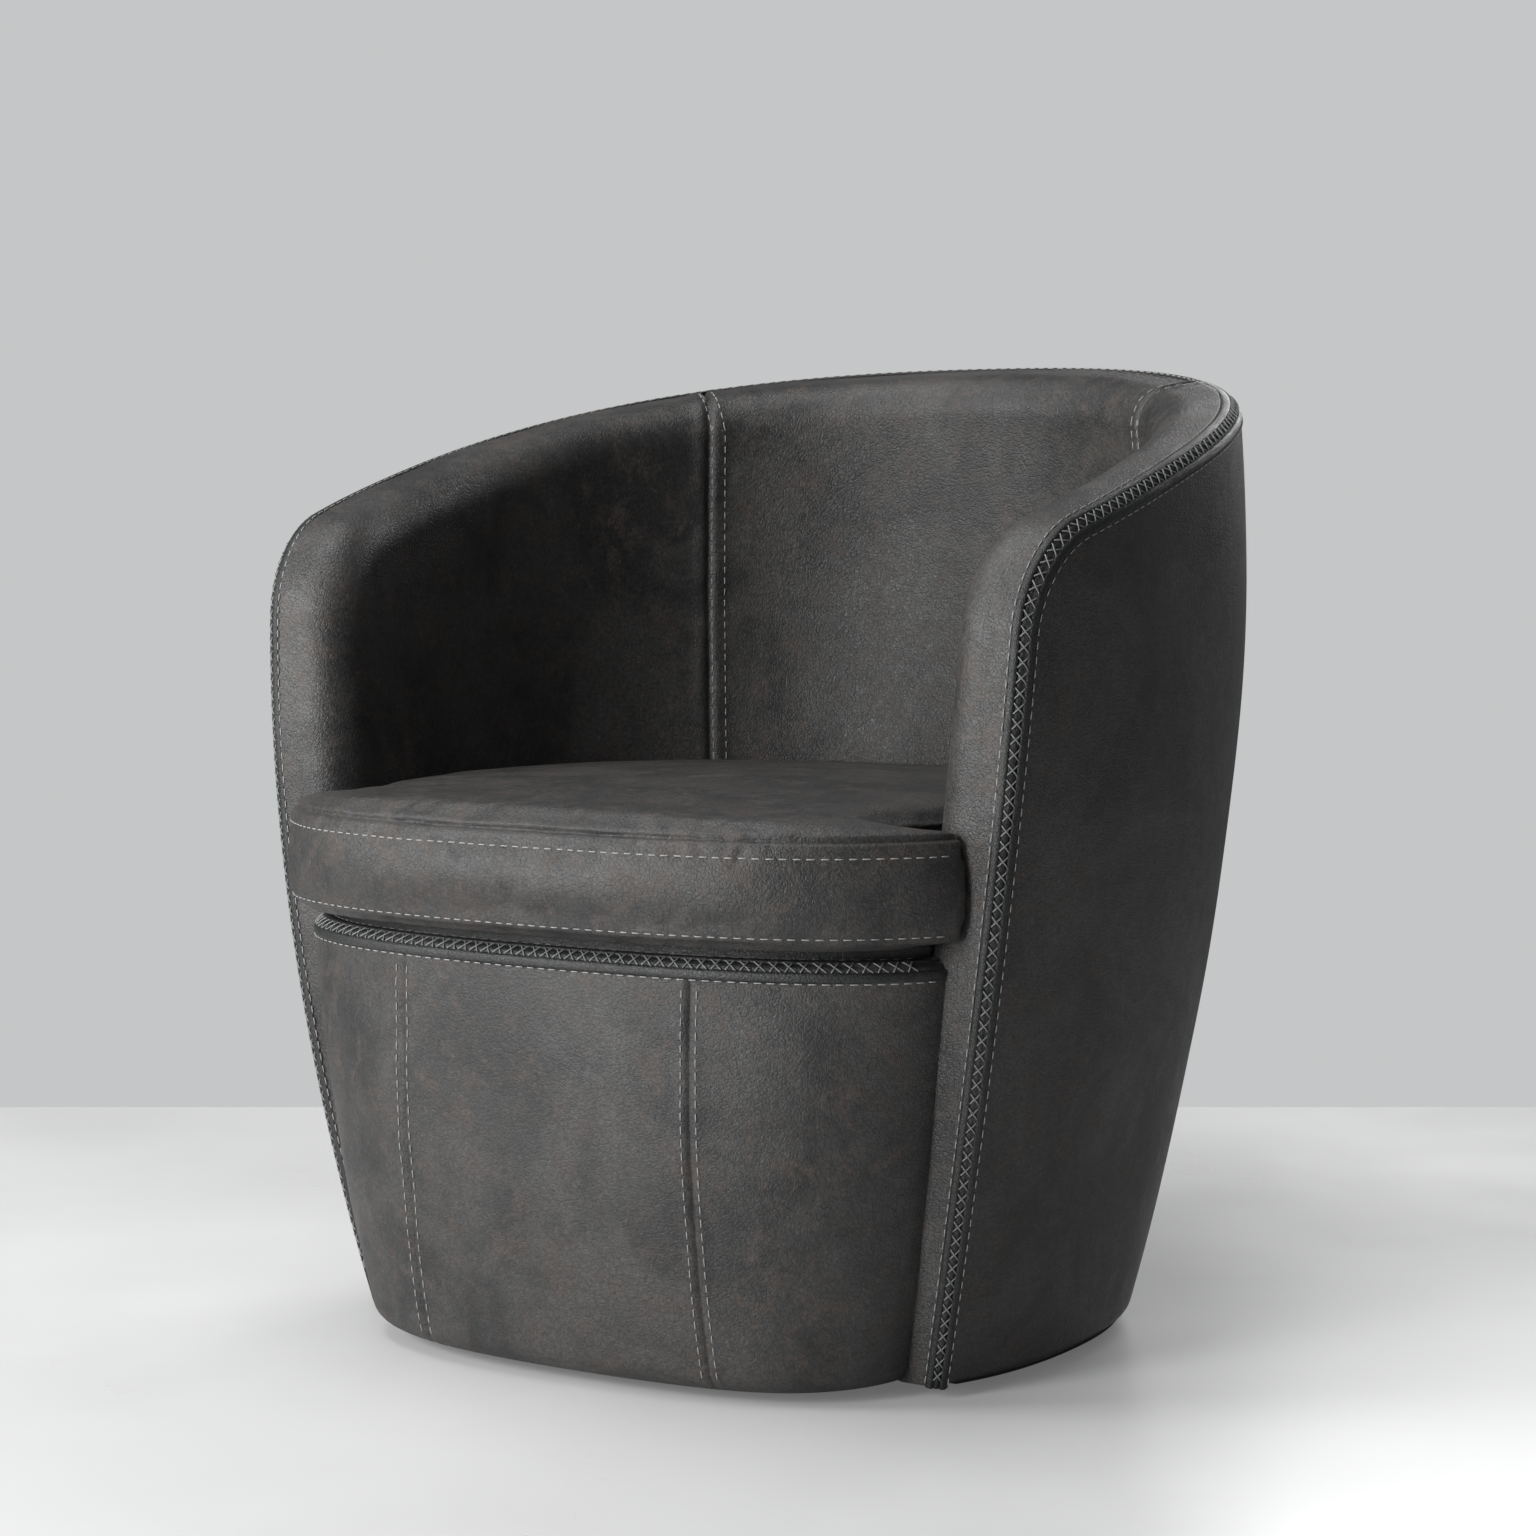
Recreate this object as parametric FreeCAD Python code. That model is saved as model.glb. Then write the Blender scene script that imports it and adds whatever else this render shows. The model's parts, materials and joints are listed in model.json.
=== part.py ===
import FreeCAD, Part
import math
import os
from FreeCAD import Placement, Rotation, Vector

# Swivel barrel chair in millimetres. Z is up, the floor is Z = 0, the swivel axis is the Z axis,
# and the sitter faces -Y.

# Barrel shell, outside leather surface
SHELL_HALF_WIDTH = 383.0
SHELL_HALF_DEPTH = 449.0
SHELL_WIDTH_TAPER = 76.0
SHELL_DEPTH_TAPER = 158.0
WIDTH_TAPER_POWER = 1.85
DEPTH_TAPER_POWER = 1.68
BELLY_HEIGHT = 617.0
SHELL_SQUARENESS = 2.32
HEM_HEIGHT = 9.0
HEM_RADIUS = 12.0

# Side view of the barrel's edge: up the arm front, round the arm's corner and along the rim
ARM_FRONT_POINTS = ((-161.0, 0.0), (-186.0, 200.0), (-193.0, 480.0))
RIM_POINTS = ((-71.0, 686.0), (142.0, 744.0), (424.0, 806.0))
ARM_CORNER_RADIUS = 100.0

# Wall of the barrel: outside cover, wooden frame and inside padding, each with its leather
WALL = 76.0
OUTER_EDGE_RADIUS = 18.0
INNER_EDGE_RADIUS = 34.0
LEATHER = 2.4
FRAME_DEPTH = 28.0
RIM_PADDING = 22.0
PANEL_SEAM_ANGLE = 38.5
BACK_SEAM_ANGLE = 24.0
TOUCH_GAP = 0.3

# Laced bindings along the edges
BINDING = 2.0
BINDING_REACH = 18.0
LACE_CHANNEL = 6.0

# Wooden frame of the barrel
TOP_RAIL_HEIGHT = 25.0
FRONT_POST_WIDTH = 42.0
FRONT_POST_TOP = 560.0
POST_WIDTH = 44.0
BACK_POST_ANGLE = 28.0
SIDE_POST_ANGLE = 80.0
RAIL_JOINT_ANGLE = 54.0
BOTTOM_RAIL = 30.0
SKIRT_RAIL_WIDTH = 20.0
CROSS_RAIL_X = 92.0
CROSS_RAIL_WIDTH = 56.0
SEAT_RAIL_TOP = 325.0
SEAT_RAIL_HEIGHT = 42.0
SEAT_RAIL_WIDTH = 28.0
FRONT_RAIL_BACK_Y = -114.0
FRONT_RAIL_WIDTH = 25.0
SEAT_BOARD = 22.0

# Front panel, a shallow drum between the arms
DRUM_CENTRE_Y = -142.0
DRUM_SIDE_INSET = 60.0
DRUM_REACH = 162.0
DRUM_REACH_TAPER = 32.0
DRUM_BELLY_HEIGHT = 250.0
DRUM_SQUARENESS = 2.5
DRUM_TOP = 343.0
DRUM_TOP_RADIUS = 12.0
DRUM_HEM_RADIUS = 16.0
DRUM_PADDING = 13.0
DRUM_SEAM_X = 135.0
STUD_DEPTH = 28.0

# Seat deck
DECK_PAD = 24.5
WEBBING = 2.0
WEBBING_WIDTH = 60.0
LONG_STRAPS = 5
CROSS_STRAPS = 4
STRAP_PITCH = 92.0
FIRST_CROSS_STRAP_Y = -90.0

# Loose seat cushion
CUSHION_GAP = 4.0
CUSHION_REST = 0.4
CUSHION_HALF_WIDTH = 328.0
CUSHION_REACH = 195.0
CUSHION_SQUARENESS = 2.6
CUSHION_SEAM_HEIGHT = 436.0
CUSHION_TOP = 455.0
CUSHION_CROWN = 12.0
CUSHION_CROWN_SPAN = 330.0
CUSHION_CROWN_Y = -60.0
CUSHION_EDGE_RADIUS = 7.0
CUSHION_BASE_RADIUS = 5.0
CUSHION_SIDE_BULGE = 5.0
ZIP_HALF_LENGTH = 170.0
ZIP_HEIGHT = 8.0
ZIP_THICKNESS = 1.2

# Base on the floor
FELT = 2.0
BASE_RADIUS = 225.0
BASE_THICKNESS = 18.0
BASE_CHAMFER = 3.0

# Swivel: two square plates with a nylon glide ring between them and a pivot bolt
PLATE_SIZE = 200.0
PLATE_CORNER = 18.0
PLATE = 2.5
PLATE_GAP = 5.8
GLIDE_RADIUS = 66.0
GLIDE_WIDTH = 14.0
GLIDE_GROOVE = 0.8
GLIDE_CLEARANCE = 0.08
PIVOT_RADIUS = 9.0
PIVOT_CLEARANCE = 0.05
PIVOT_HEAD_RADIUS = 15.0
PIVOT_HEAD = 6.0
PIVOT_END = 4.0
HEAD_POCKET_CLEARANCE = 1.0
WASHER = 2.0
WASHER_RADIUS = 17.0
NUT_RADIUS = 15.0
NUT_HEIGHT = 8.0
SCREW_RADIUS = 3.0
SCREW_HEAD_RADIUS = 6.0
SCREW_HEAD = 2.0
SCREW_LENGTH = 14.0
SCREW_SPACING = 170.0
DUST_COVER = 1.0
DUST_COVER_INSET = 50.0

# Insets from the outside leather that follow from the layers
LACE_LINE = OUTER_EDGE_RADIUS * (1 - math.sqrt(0.5))
FRAME_OUT = LACE_LINE
FRAME_IN = FRAME_OUT + FRAME_DEPTH
BLOCK_IN = WALL - LEATHER
PANEL_LACE_LINE = DRUM_TOP_RADIUS * (1 - math.sqrt(0.5))
HALF_CHANNEL = LACE_CHANNEL / 2 * math.sqrt(0.5)

# Heights and places that follow from the stack on the floor
BASE_TOP = FELT + BASE_THICKNESS
LOWER_PLATE_TOP = BASE_TOP + PLATE
UPPER_PLATE_BOTTOM = LOWER_PLATE_TOP + PLATE_GAP
FRAME_BOTTOM = UPPER_PLATE_BOTTOM + PLATE
FRAME_FLOOR = FRAME_BOTTOM + BOTTOM_RAIL
FRONT_RAIL_FRONT_Y = FRONT_RAIL_BACK_Y - FRONT_RAIL_WIDTH
DECK_BOTTOM = SEAT_RAIL_TOP + 2 * WEBBING
DECK_TOP = DECK_BOTTOM + DECK_PAD
SEAT_BOARD_BOTTOM = DECK_BOTTOM - SEAT_BOARD
CUSHION_BOTTOM = DECK_TOP + CUSHION_REST

# Levels of the loft sections and points of each section
LOFT_HEIGHTS = (-20.0, 140.0, 300.0, 460.0, 617.0, 860.0)
CURVE_POINTS = 16
FAR = 600.0

parts = {}


def add(name, shape):
    """Keeps a finished piece under its node name."""
    solids = shape.Solids
    parts[name] = solids[0] if len(solids) == 1 else Part.makeCompound(solids)


def superellipse(half_x, half_y, centre_y, z, squareness, seam_at_back):
    """Closed level curve; its seam lies on the back or on the front."""
    points = []
    start = 0.0 if seam_at_back else math.pi
    for i in range(CURVE_POINTS):
        angle = start + 2 * math.pi * i / CURVE_POINTS
        s, c = math.sin(angle), math.cos(angle)
        x = half_x * math.copysign(abs(s) ** (2 / squareness), s)
        y = half_y * math.copysign(abs(c) ** (2 / squareness), c)
        points.append(Vector(x, centre_y + y, z))
    curve = Part.BSplineCurve()
    curve.interpolate(Points=points, PeriodicFlag=True)
    return Part.Wire(curve.toShape())


def shell_half_width(z):
    return SHELL_HALF_WIDTH - SHELL_WIDTH_TAPER * abs(1 - z / BELLY_HEIGHT) ** WIDTH_TAPER_POWER


def shell_half_depth(z):
    return SHELL_HALF_DEPTH - SHELL_DEPTH_TAPER * abs(1 - z / BELLY_HEIGHT) ** DEPTH_TAPER_POWER


def barrel(inset):
    """Solid barrel whose side lies the given distance inside the shell."""
    wires = []
    for z in LOFT_HEIGHTS:
        half_x, half_y = shell_half_width(z) - inset, shell_half_depth(z) - inset
        wires.append(superellipse(half_x, half_y, 0.0, z, SHELL_SQUARENESS, False))
    return Part.makeLoft(wires, True, False)


def drum_reach(z):
    return DRUM_REACH - DRUM_REACH_TAPER * (1 - z / DRUM_BELLY_HEIGHT) ** 2


def drum(inset):
    """Solid drum behind the front panel, the given distance inside its leather."""
    wires = []
    for z in LOFT_HEIGHTS[:4]:
        half_x = shell_half_width(z) - DRUM_SIDE_INSET - inset
        wires.append(superellipse(half_x, drum_reach(z) - inset, DRUM_CENTRE_Y, z, DRUM_SQUARENESS, True))
    return Part.makeLoft(wires, True, False)


def circle_through(a, b, c):
    """Centre (y, z) and radius of the circle through three side-view points."""
    circle = Part.Circle(Vector(0, *a), Vector(0, *b), Vector(0, *c))
    return circle.Center, circle.Radius


FRONT_CENTRE, FRONT_RADIUS = circle_through(*ARM_FRONT_POINTS)
RIM_CENTRE, RIM_RADIUS = circle_through(*RIM_POINTS)


def corner_centre():
    """Centre of the arm's corner arc, tangent inside the arm front arc and the rim arc."""
    r1, r2 = FRONT_RADIUS - ARM_CORNER_RADIUS, RIM_RADIUS - ARM_CORNER_RADIUS
    between = RIM_CENTRE - FRONT_CENTRE
    d = between.Length
    along = (r1 * r1 - r2 * r2 + d * d) / (2 * d)
    across = math.sqrt(r1 * r1 - along * along)
    u = between / d
    side = Vector(0, -u.z, u.y)
    options = [FRONT_CENTRE + u * along + side * across * s for s in (1, -1)]
    return min(options, key=lambda p: abs(p.y))


CORNER_CENTRE = corner_centre()


def side_profile(inset):
    """Everything behind the arm fronts and below the rim, drawn in by the given distance."""
    def on(centre, radius, toward):
        direction = toward - centre
        return centre + direction / direction.Length * (radius - inset)

    def cross(centre, radius, other):
        return math.sqrt((radius - inset) ** 2 - other ** 2)

    low_z, far_y = -60.0, FAR
    start_y = FRONT_CENTRE.y - cross(FRONT_CENTRE, FRONT_RADIUS, low_z - FRONT_CENTRE.z)
    end_z = RIM_CENTRE.z + cross(RIM_CENTRE, RIM_RADIUS, far_y - RIM_CENTRE.y)
    start, end = Vector(-FAR, start_y, low_z), Vector(-FAR, far_y, end_z)
    shift = Vector(-FAR, 0, 0)
    away = CORNER_CENTRE + (CORNER_CENTRE - FRONT_CENTRE)
    first = on(FRONT_CENTRE, FRONT_RADIUS, away)
    second = on(RIM_CENTRE, RIM_RADIUS, CORNER_CENTRE + (CORNER_CENTRE - RIM_CENTRE))
    front_mid = on(FRONT_CENTRE, FRONT_RADIUS, (start - shift + first) / 2)
    rim_mid = on(RIM_CENTRE, RIM_RADIUS, (second + end - shift) / 2)
    halfway = (first + second) / 2
    corner_mid = on(CORNER_CENTRE, ARM_CORNER_RADIUS, halfway)
    edges = [
        Part.Arc(start, front_mid + shift, first + shift).toShape(),
        Part.Arc(first + shift, corner_mid + shift, second + shift).toShape(),
        Part.Arc(second + shift, rim_mid + shift, end).toShape(),
        Part.makeLine(end, Vector(-FAR, far_y, low_z)),
        Part.makeLine(Vector(-FAR, far_y, low_z), start),
    ]
    return Part.Face(Part.Wire(edges)).extrude(Vector(2 * FAR, 0, 0))


def slab(z0, z1):
    """Everything between two heights."""
    return Part.makeBox(2 * FAR, 2 * FAR, z1 - z0, Vector(-FAR, -FAR, z0))


def behind(y):
    """Everything behind a plane across the chair."""
    return Part.makeBox(2 * FAR, 2 * FAR, 3 * FAR, Vector(-FAR, y, -FAR))


def ahead(y):
    """Everything in front of a plane across the chair."""
    return Part.makeBox(2 * FAR, 2 * FAR, 3 * FAR, Vector(-FAR, y - 2 * FAR, -FAR))


def sector(from_angle, to_angle):
    """Wedge about the swivel axis, angles in degrees from the back (+Y) towards +X."""
    steps = 4
    points = [Vector(0, 0, -FAR)]
    for i in range(steps + 1):
        a = math.radians(from_angle + (to_angle - from_angle) * i / steps)
        points.append(Vector(2 * FAR * math.sin(a), 2 * FAR * math.cos(a), -FAR))
    points.append(points[0])
    return Part.Face(Part.makePolygon(points)).extrude(Vector(0, 0, 3 * FAR))


def mirrored(shape):
    return shape.mirror(Vector(0, 0, 0), Vector(1, 0, 0))


def level_value(point, inset):
    """1 on the barrel surface of the given inset, below 1 inside it."""
    half_x, half_y = shell_half_width(point.z) - inset, shell_half_depth(point.z) - inset
    return (abs(point.x) / half_x) ** SHELL_SQUARENESS + (abs(point.y) / half_y) ** SHELL_SQUARENESS


def edge_middle(edge):
    return edge.valueAt((edge.FirstParameter + edge.LastParameter) / 2)


def edges_where(solid, test):
    return [edge for edge in solid.Edges if test(edge_middle(edge))]


def column(x, width, z0, z1):
    """Upright slice across the whole depth, centred on the given X."""
    return Part.makeBox(width, 2 * FAR, z1 - z0, Vector(x - width / 2, -FAR, z0))


def right_half():
    return Part.makeBox(FAR, 2 * FAR, 3 * FAR, Vector(0, -FAR, -FAR))


def back_sector(shape, angle):
    return shape.common(sector(-angle, angle))


def right_sector(shape, angle):
    return shape.cut(sector(-angle, angle)).common(right_half())


def add_sides(name, right):
    """A right-hand piece and its mirror image."""
    add(name + "_right", right)
    add(name + "_left", mirrored(right))


def add_sectors(name, shape, angle):
    """A ring split into its back and its two sides."""
    add(name + "_back", back_sector(shape, angle))
    add_sides(name + "_side", right_sector(shape, angle))


def wall(inset):
    """The barrel's wall with its rounded edges, drawn in by the given distance all over."""
    near = 0.03
    hem_z = HEM_HEIGHT + inset
    inner_inset = WALL - inset
    body = barrel(inset).common(side_profile(inset)).common(slab(hem_z, 2 * FAR))
    body = body.cut(barrel(inner_inset)).Solids[0]
    rim = edges_where(body, lambda p: p.z > hem_z + 1 and abs(level_value(p, inset) - 1) < near)
    body = body.makeFillet(OUTER_EDGE_RADIUS - inset, rim)
    rim = edges_where(body, lambda p: p.z > hem_z + 1 and abs(level_value(p, inner_inset) - 1) < near)
    body = body.makeFillet(INNER_EDGE_RADIUS - inset, rim)
    hem = edges_where(body, lambda p: abs(p.z - hem_z) < near and p.y > 0
                      and abs(level_value(p, inset) - 1) < near)
    return body.makeFillet(HEM_RADIUS - inset, hem)


def upholstery(outside):
    """Outside covers, and inside padding that rolls over the rim and down the arm fronts."""
    add_sectors("outside_cover", outside.cut(barrel(LACE_LINE)), BACK_SEAM_ANGLE)
    frame_space = barrel(LACE_LINE).cut(barrel(FRAME_IN)).common(side_profile(RIM_PADDING))
    below_seat = barrel(FRAME_IN).common(side_profile(RIM_PADDING)).common(slab(-FAR, SEAT_RAIL_TOP))
    pad = outside.common(barrel(LACE_LINE)).cut(frame_space).cut(below_seat)
    pad = pad.cut(parts["seat_webbing_long"]).cut(parts["seat_webbing_cross"])
    add_sectors("inside_pad", pad, PANEL_SEAM_ANGLE)


def bindings():
    """Two folded leather strips along the barrel's edge, with the lacing's channel between them."""
    proud = wall(-BINDING).common(slab(HEM_HEIGHT, 2 * FAR)).cut(side_profile(BINDING_REACH))
    proud = proud.cut(barrel(BINDING_REACH)).cut(wall(-TOUCH_GAP))
    add("rim_binding_outer", proud.cut(barrel(LACE_LINE - HALF_CHANNEL)))
    add("rim_binding_inner", proud.common(barrel(LACE_LINE + HALF_CHANNEL)))


def barrel_frame():
    """Rails and posts of the barrel."""
    outer, inner = barrel(FRAME_OUT), barrel(FRAME_IN)
    core = side_profile(RIM_PADDING)
    ring = outer.cut(inner).common(core)
    under_rail = side_profile(RIM_PADDING + TOP_RAIL_HEIGHT)
    top_rail = ring.cut(under_rail).common(slab(FRONT_POST_TOP, 2 * FAR))
    add_sectors("top_rail", top_rail, RAIL_JOINT_ANGLE)

    behind_posts = side_profile(RIM_PADDING + FRONT_POST_WIDTH)
    front_post = ring.cut(behind_posts)
    add_sides("front_post", front_post.common(slab(FRAME_FLOOR, FRONT_POST_TOP)).common(right_half()))
    block = inner.cut(barrel(BLOCK_IN)).common(core).cut(behind_posts)
    add_sides("arm_front_block", block.common(slab(FRAME_FLOOR, SEAT_BOARD_BOTTOM)).common(right_half()))
    for name, angle in (("back_post", BACK_POST_ANGLE), ("side_post", SIDE_POST_ANGLE)):
        upright = Part.makeBox(POST_WIDTH, FAR, 2 * FAR, Vector(-POST_WIDTH / 2, 0, FRAME_FLOOR))
        upright.Placement = Placement(Vector(), Rotation(Vector(0, 0, 1), -angle))
        add_sides(name, ring.common(under_rail).common(upright))

    seat_rail = inner.cut(barrel(FRAME_IN + SEAT_RAIL_WIDTH)).common(behind_posts)
    seat_rail = seat_rail.common(slab(SEAT_RAIL_TOP - SEAT_RAIL_HEIGHT, SEAT_RAIL_TOP))
    add_sectors("seat_rail", seat_rail, RAIL_JOINT_ANGLE)
    front_rail = barrel(BLOCK_IN).common(slab(SEAT_RAIL_TOP - SEAT_RAIL_HEIGHT, SEAT_RAIL_TOP))
    add("seat_rail_front", front_rail.common(ahead(FRONT_RAIL_BACK_Y)).common(behind(FRONT_RAIL_FRONT_Y)))

    wide_ring = outer.cut(barrel(WALL)).common(core)
    add_sectors("bottom_rail", wide_ring.common(slab(FRAME_BOTTOM, FRAME_FLOOR)), RAIL_JOINT_ANGLE)
    skirt = outer.cut(barrel(FRAME_OUT + SKIRT_RAIL_WIDTH)).common(behind_posts)
    feet = outer.cut(barrel(BLOCK_IN)).common(core).cut(behind_posts)
    skirt_level = slab(HEM_HEIGHT, FRAME_BOTTOM)
    add_sectors("skirt_rail", skirt.common(skirt_level), RAIL_JOINT_ANGLE)
    add_sides("arm_foot_block", feet.common(skirt_level).common(right_half()))


def seat_plan(side_inset, drum_inset, z0, z1):
    """The seat's outline: between the arms behind, wider in front of them."""
    level = slab(z0, z1)
    between = barrel(side_inset).common(level).common(behind(DRUM_CENTRE_Y - DRUM_REACH / 2))
    front = drum(drum_inset).common(level).cut(side_profile(-TOUCH_GAP))
    return between.fuse(front).removeSplitter()


def front_frame():
    """The front's two boards, its studs and the cross rails that carry the swivel."""
    side = WALL + TOUCH_GAP
    board = seat_plan(side, DRUM_PADDING, FRAME_BOTTOM, FRAME_FLOOR)
    add("bottom_board_front", board.common(ahead(FRONT_RAIL_BACK_Y)))
    board = seat_plan(side, DRUM_PADDING, SEAT_BOARD_BOTTOM, DECK_BOTTOM)
    add("seat_board_front", board.common(ahead(FRONT_RAIL_FRONT_Y)))
    studs = drum(DRUM_PADDING).cut(drum(DRUM_PADDING + STUD_DEPTH)).common(ahead(DRUM_CENTRE_Y))
    columns = [column(x, POST_WIDTH, FRAME_FLOOR, SEAT_BOARD_BOTTOM) for x in (-DRUM_SEAM_X, 0, DRUM_SEAM_X)]
    add("front_studs", Part.makeCompound([studs.common(c) for c in columns]))
    between = barrel(side).common(behind(FRONT_RAIL_BACK_Y)).cut(pilot_holes(FRAME_BOTTOM))
    add_sides("cross_rail", between.common(column(CROSS_RAIL_X, CROSS_RAIL_WIDTH, FRAME_BOTTOM, FRAME_FLOOR)))
    level = slab(FRAME_BOTTOM - DUST_COVER, FRAME_BOTTOM)
    cover = barrel(DUST_COVER_INSET).common(level).common(side_profile(RIM_PADDING + FRONT_POST_WIDTH))
    cover = cover.fuse(seat_plan(side, DRUM_PADDING, FRAME_BOTTOM - DUST_COVER, FRAME_BOTTOM)).removeSplitter()
    hole = PLATE_SIZE + 2 * HEAD_POCKET_CLEARANCE
    add("dust_cover", cover.cut(Part.makeBox(hole, hole, FAR, Vector(-hole / 2, -hole / 2, 0))))


def panel_body(inset):
    """Front panel with its rolled top and its hem, drawn in by the given distance in front."""
    near = 0.05
    low, high = HEM_HEIGHT + inset, DRUM_TOP - inset
    body = drum(inset).cut(drum(DRUM_PADDING)).common(slab(low, high)).common(ahead(DRUM_CENTRE_Y))
    body = body.cut(side_profile(-TOUCH_GAP)).Solids[0]

    def front_edge(p, z):
        return abs(p.z - z) < near and p.y < DRUM_CENTRE_Y + inset - drum_reach(z) + DRUM_PADDING / 3

    body = body.makeFillet(DRUM_TOP_RADIUS - inset, edges_where(body, lambda p: front_edge(p, high)))
    return body.makeFillet(DRUM_HEM_RADIUS - inset, edges_where(body, lambda p: front_edge(p, low)))


def front_panel():
    """Padded leather of the front panel in three pieces, and its laced bindings."""
    outside = panel_body(0.0)
    middle = column(0, 2 * DRUM_SEAM_X, 0, FAR)
    add("front_cover_centre", outside.common(middle))
    add_sides("front_cover_side", outside.cut(middle).common(right_half()))
    proud = panel_body(-BINDING).cut(panel_body(-TOUCH_GAP))
    proud = proud.common(slab(DRUM_TOP - BINDING_REACH, FAR)).cut(drum(BINDING_REACH))
    add("panel_binding_lower", proud.cut(drum(PANEL_LACE_LINE - HALF_CHANNEL)))
    add("panel_binding_upper", proud.common(drum(PANEL_LACE_LINE + HALF_CHANNEL)))


def webbing():
    """Elastic straps stretched over the seat rails, the cross straps on top."""
    anchor = barrel(FRAME_IN + SEAT_RAIL_WIDTH / 2)
    long_straps, cross_straps = [], []
    for i in range(LONG_STRAPS):
        x = (i - (LONG_STRAPS - 1) / 2) * STRAP_PITCH
        strap = column(x, WEBBING_WIDTH, SEAT_RAIL_TOP, SEAT_RAIL_TOP + WEBBING)
        long_straps.append(strap.common(behind(FRONT_RAIL_FRONT_Y)).common(anchor))
    for i in range(CROSS_STRAPS):
        start = Vector(-FAR, FIRST_CROSS_STRAP_Y + i * STRAP_PITCH, SEAT_RAIL_TOP + WEBBING)
        cross_straps.append(Part.makeBox(2 * FAR, WEBBING_WIDTH, WEBBING, start).common(anchor))
    add("seat_webbing_long", Part.makeCompound(long_straps))
    add("seat_webbing_cross", Part.makeCompound(cross_straps))


def seat_deck():
    """Pad on the webbing and the leather border that shows in front of it."""
    border = DRUM_PADDING + TOUCH_GAP
    add("deck_pad", seat_plan(WALL + TOUCH_GAP, border + LEATHER, DECK_BOTTOM, DECK_TOP))
    edge = drum(border).cut(drum(border + LEATHER)).common(slab(DECK_BOTTOM, DECK_TOP))
    add("deck_border_cover", edge.cut(side_profile(-TOUCH_GAP)).common(ahead(DRUM_CENTRE_Y)))


def cushion_body(inset):
    """The loose cushion: crowned top, sides drawn in at the seams, ears in front of the arms."""
    near = 0.05
    low, high = CUSHION_BOTTOM + inset, CUSHION_TOP - inset
    middle = (CUSHION_BOTTOM + CUSHION_SEAM_HEIGHT) / 2
    wires = []
    for z in (low - CUSHION_CROWN, low, middle, CUSHION_SEAM_HEIGHT, high + CUSHION_CROWN):
        draw = CUSHION_SIDE_BULGE * ((z - middle) / (middle - CUSHION_BOTTOM)) ** 2 + inset
        half_x, reach = CUSHION_HALF_WIDTH - draw, CUSHION_REACH - draw
        wires.append(superellipse(half_x, reach, DRUM_CENTRE_Y, z, CUSHION_SQUARENESS, True))
    level = slab(low, high)
    front = Part.makeLoft(wires, True, False).common(level).cut(side_profile(-CUSHION_GAP - inset))
    rear = barrel(WALL + CUSHION_GAP + inset).common(level).common(behind(DRUM_CENTRE_Y - CUSHION_REACH / 2))
    body = front.fuse(rear).removeSplitter()
    dome_radius = (CUSHION_CROWN_SPAN ** 2 + CUSHION_CROWN ** 2) / (2 * CUSHION_CROWN)
    dome = Part.makeSphere(dome_radius - inset)
    dome.Placement.Base = Vector(0, CUSHION_CROWN_Y, CUSHION_TOP - dome_radius)
    body = body.common(dome).Solids[0]
    top = edges_where(body, lambda p: abs((p - dome.Placement.Base).Length - dome_radius + inset) < near)
    body = body.makeFillet(CUSHION_EDGE_RADIUS - inset, top)
    return body.makeFillet(CUSHION_BASE_RADIUS - inset, edges_where(body, lambda p: abs(p.z - low) < near))


def cushion():
    """Loose seat cushion and the zip along the back of its boxing."""
    add("seat_cushion", cushion_body(0.0))
    zip_z = (CUSHION_BOTTOM + CUSHION_SEAM_HEIGHT) / 2
    tape = column(0, 2 * ZIP_HALF_LENGTH, zip_z - ZIP_HEIGHT / 2, zip_z + ZIP_HEIGHT / 2).common(behind(0))
    rear = WALL + CUSHION_GAP
    add("cushion_zip", tape.common(barrel(rear - ZIP_THICKNESS)).cut(barrel(rear)))


def disc(radius, height, z):
    return Part.makeCylinder(radius, height, Vector(0, 0, z))


def screw_places():
    half = SCREW_SPACING / 2
    return [(x, y) for x in (-half, half) for y in (-half, half)]


def pilot_holes(z):
    """Holes in the wood for a plate's four screws, upwards from the given height."""
    holes = [Part.makeCylinder(SCREW_RADIUS, SCREW_LENGTH, Vector(x, y, z)) for x, y in screw_places()]
    return Part.makeCompound(holes)


def floor_base():
    """Round plinth on its felt, with the pocket for the pivot bolt's head."""
    add("base_felt", disc(BASE_RADIUS - BASE_CHAMFER, FELT, 0))
    base = disc(BASE_RADIUS, BASE_THICKNESS, FELT)
    base = base.makeChamfer(BASE_CHAMFER, [edge for edge in base.Edges if edge.Closed])
    pocket = disc(PIVOT_HEAD_RADIUS + HEAD_POCKET_CLEARANCE, PIVOT_HEAD, BASE_TOP - PIVOT_HEAD)
    add("floor_base", base.cut(pocket).cut(pilot_holes(BASE_TOP - SCREW_LENGTH)))


def swivel_plate(z, pivot_hole):
    """Pressed steel plate with its groove for the glide ring, screw holes and pivot hole."""
    plate = Part.makeBox(PLATE_SIZE, PLATE_SIZE, PLATE, Vector(-PLATE_SIZE / 2, -PLATE_SIZE / 2, z))
    plate = plate.makeFillet(PLATE_CORNER, [edge for edge in plate.Edges if edge.Length < PLATE + TOUCH_GAP])
    for x, y in screw_places():
        plate = plate.cut(Part.makeCylinder(SCREW_RADIUS, PLATE, Vector(x, y, z)))
    return plate.cut(disc(pivot_hole, PLATE, z)).cut(glide_band(-GLIDE_CLEARANCE))


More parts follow.
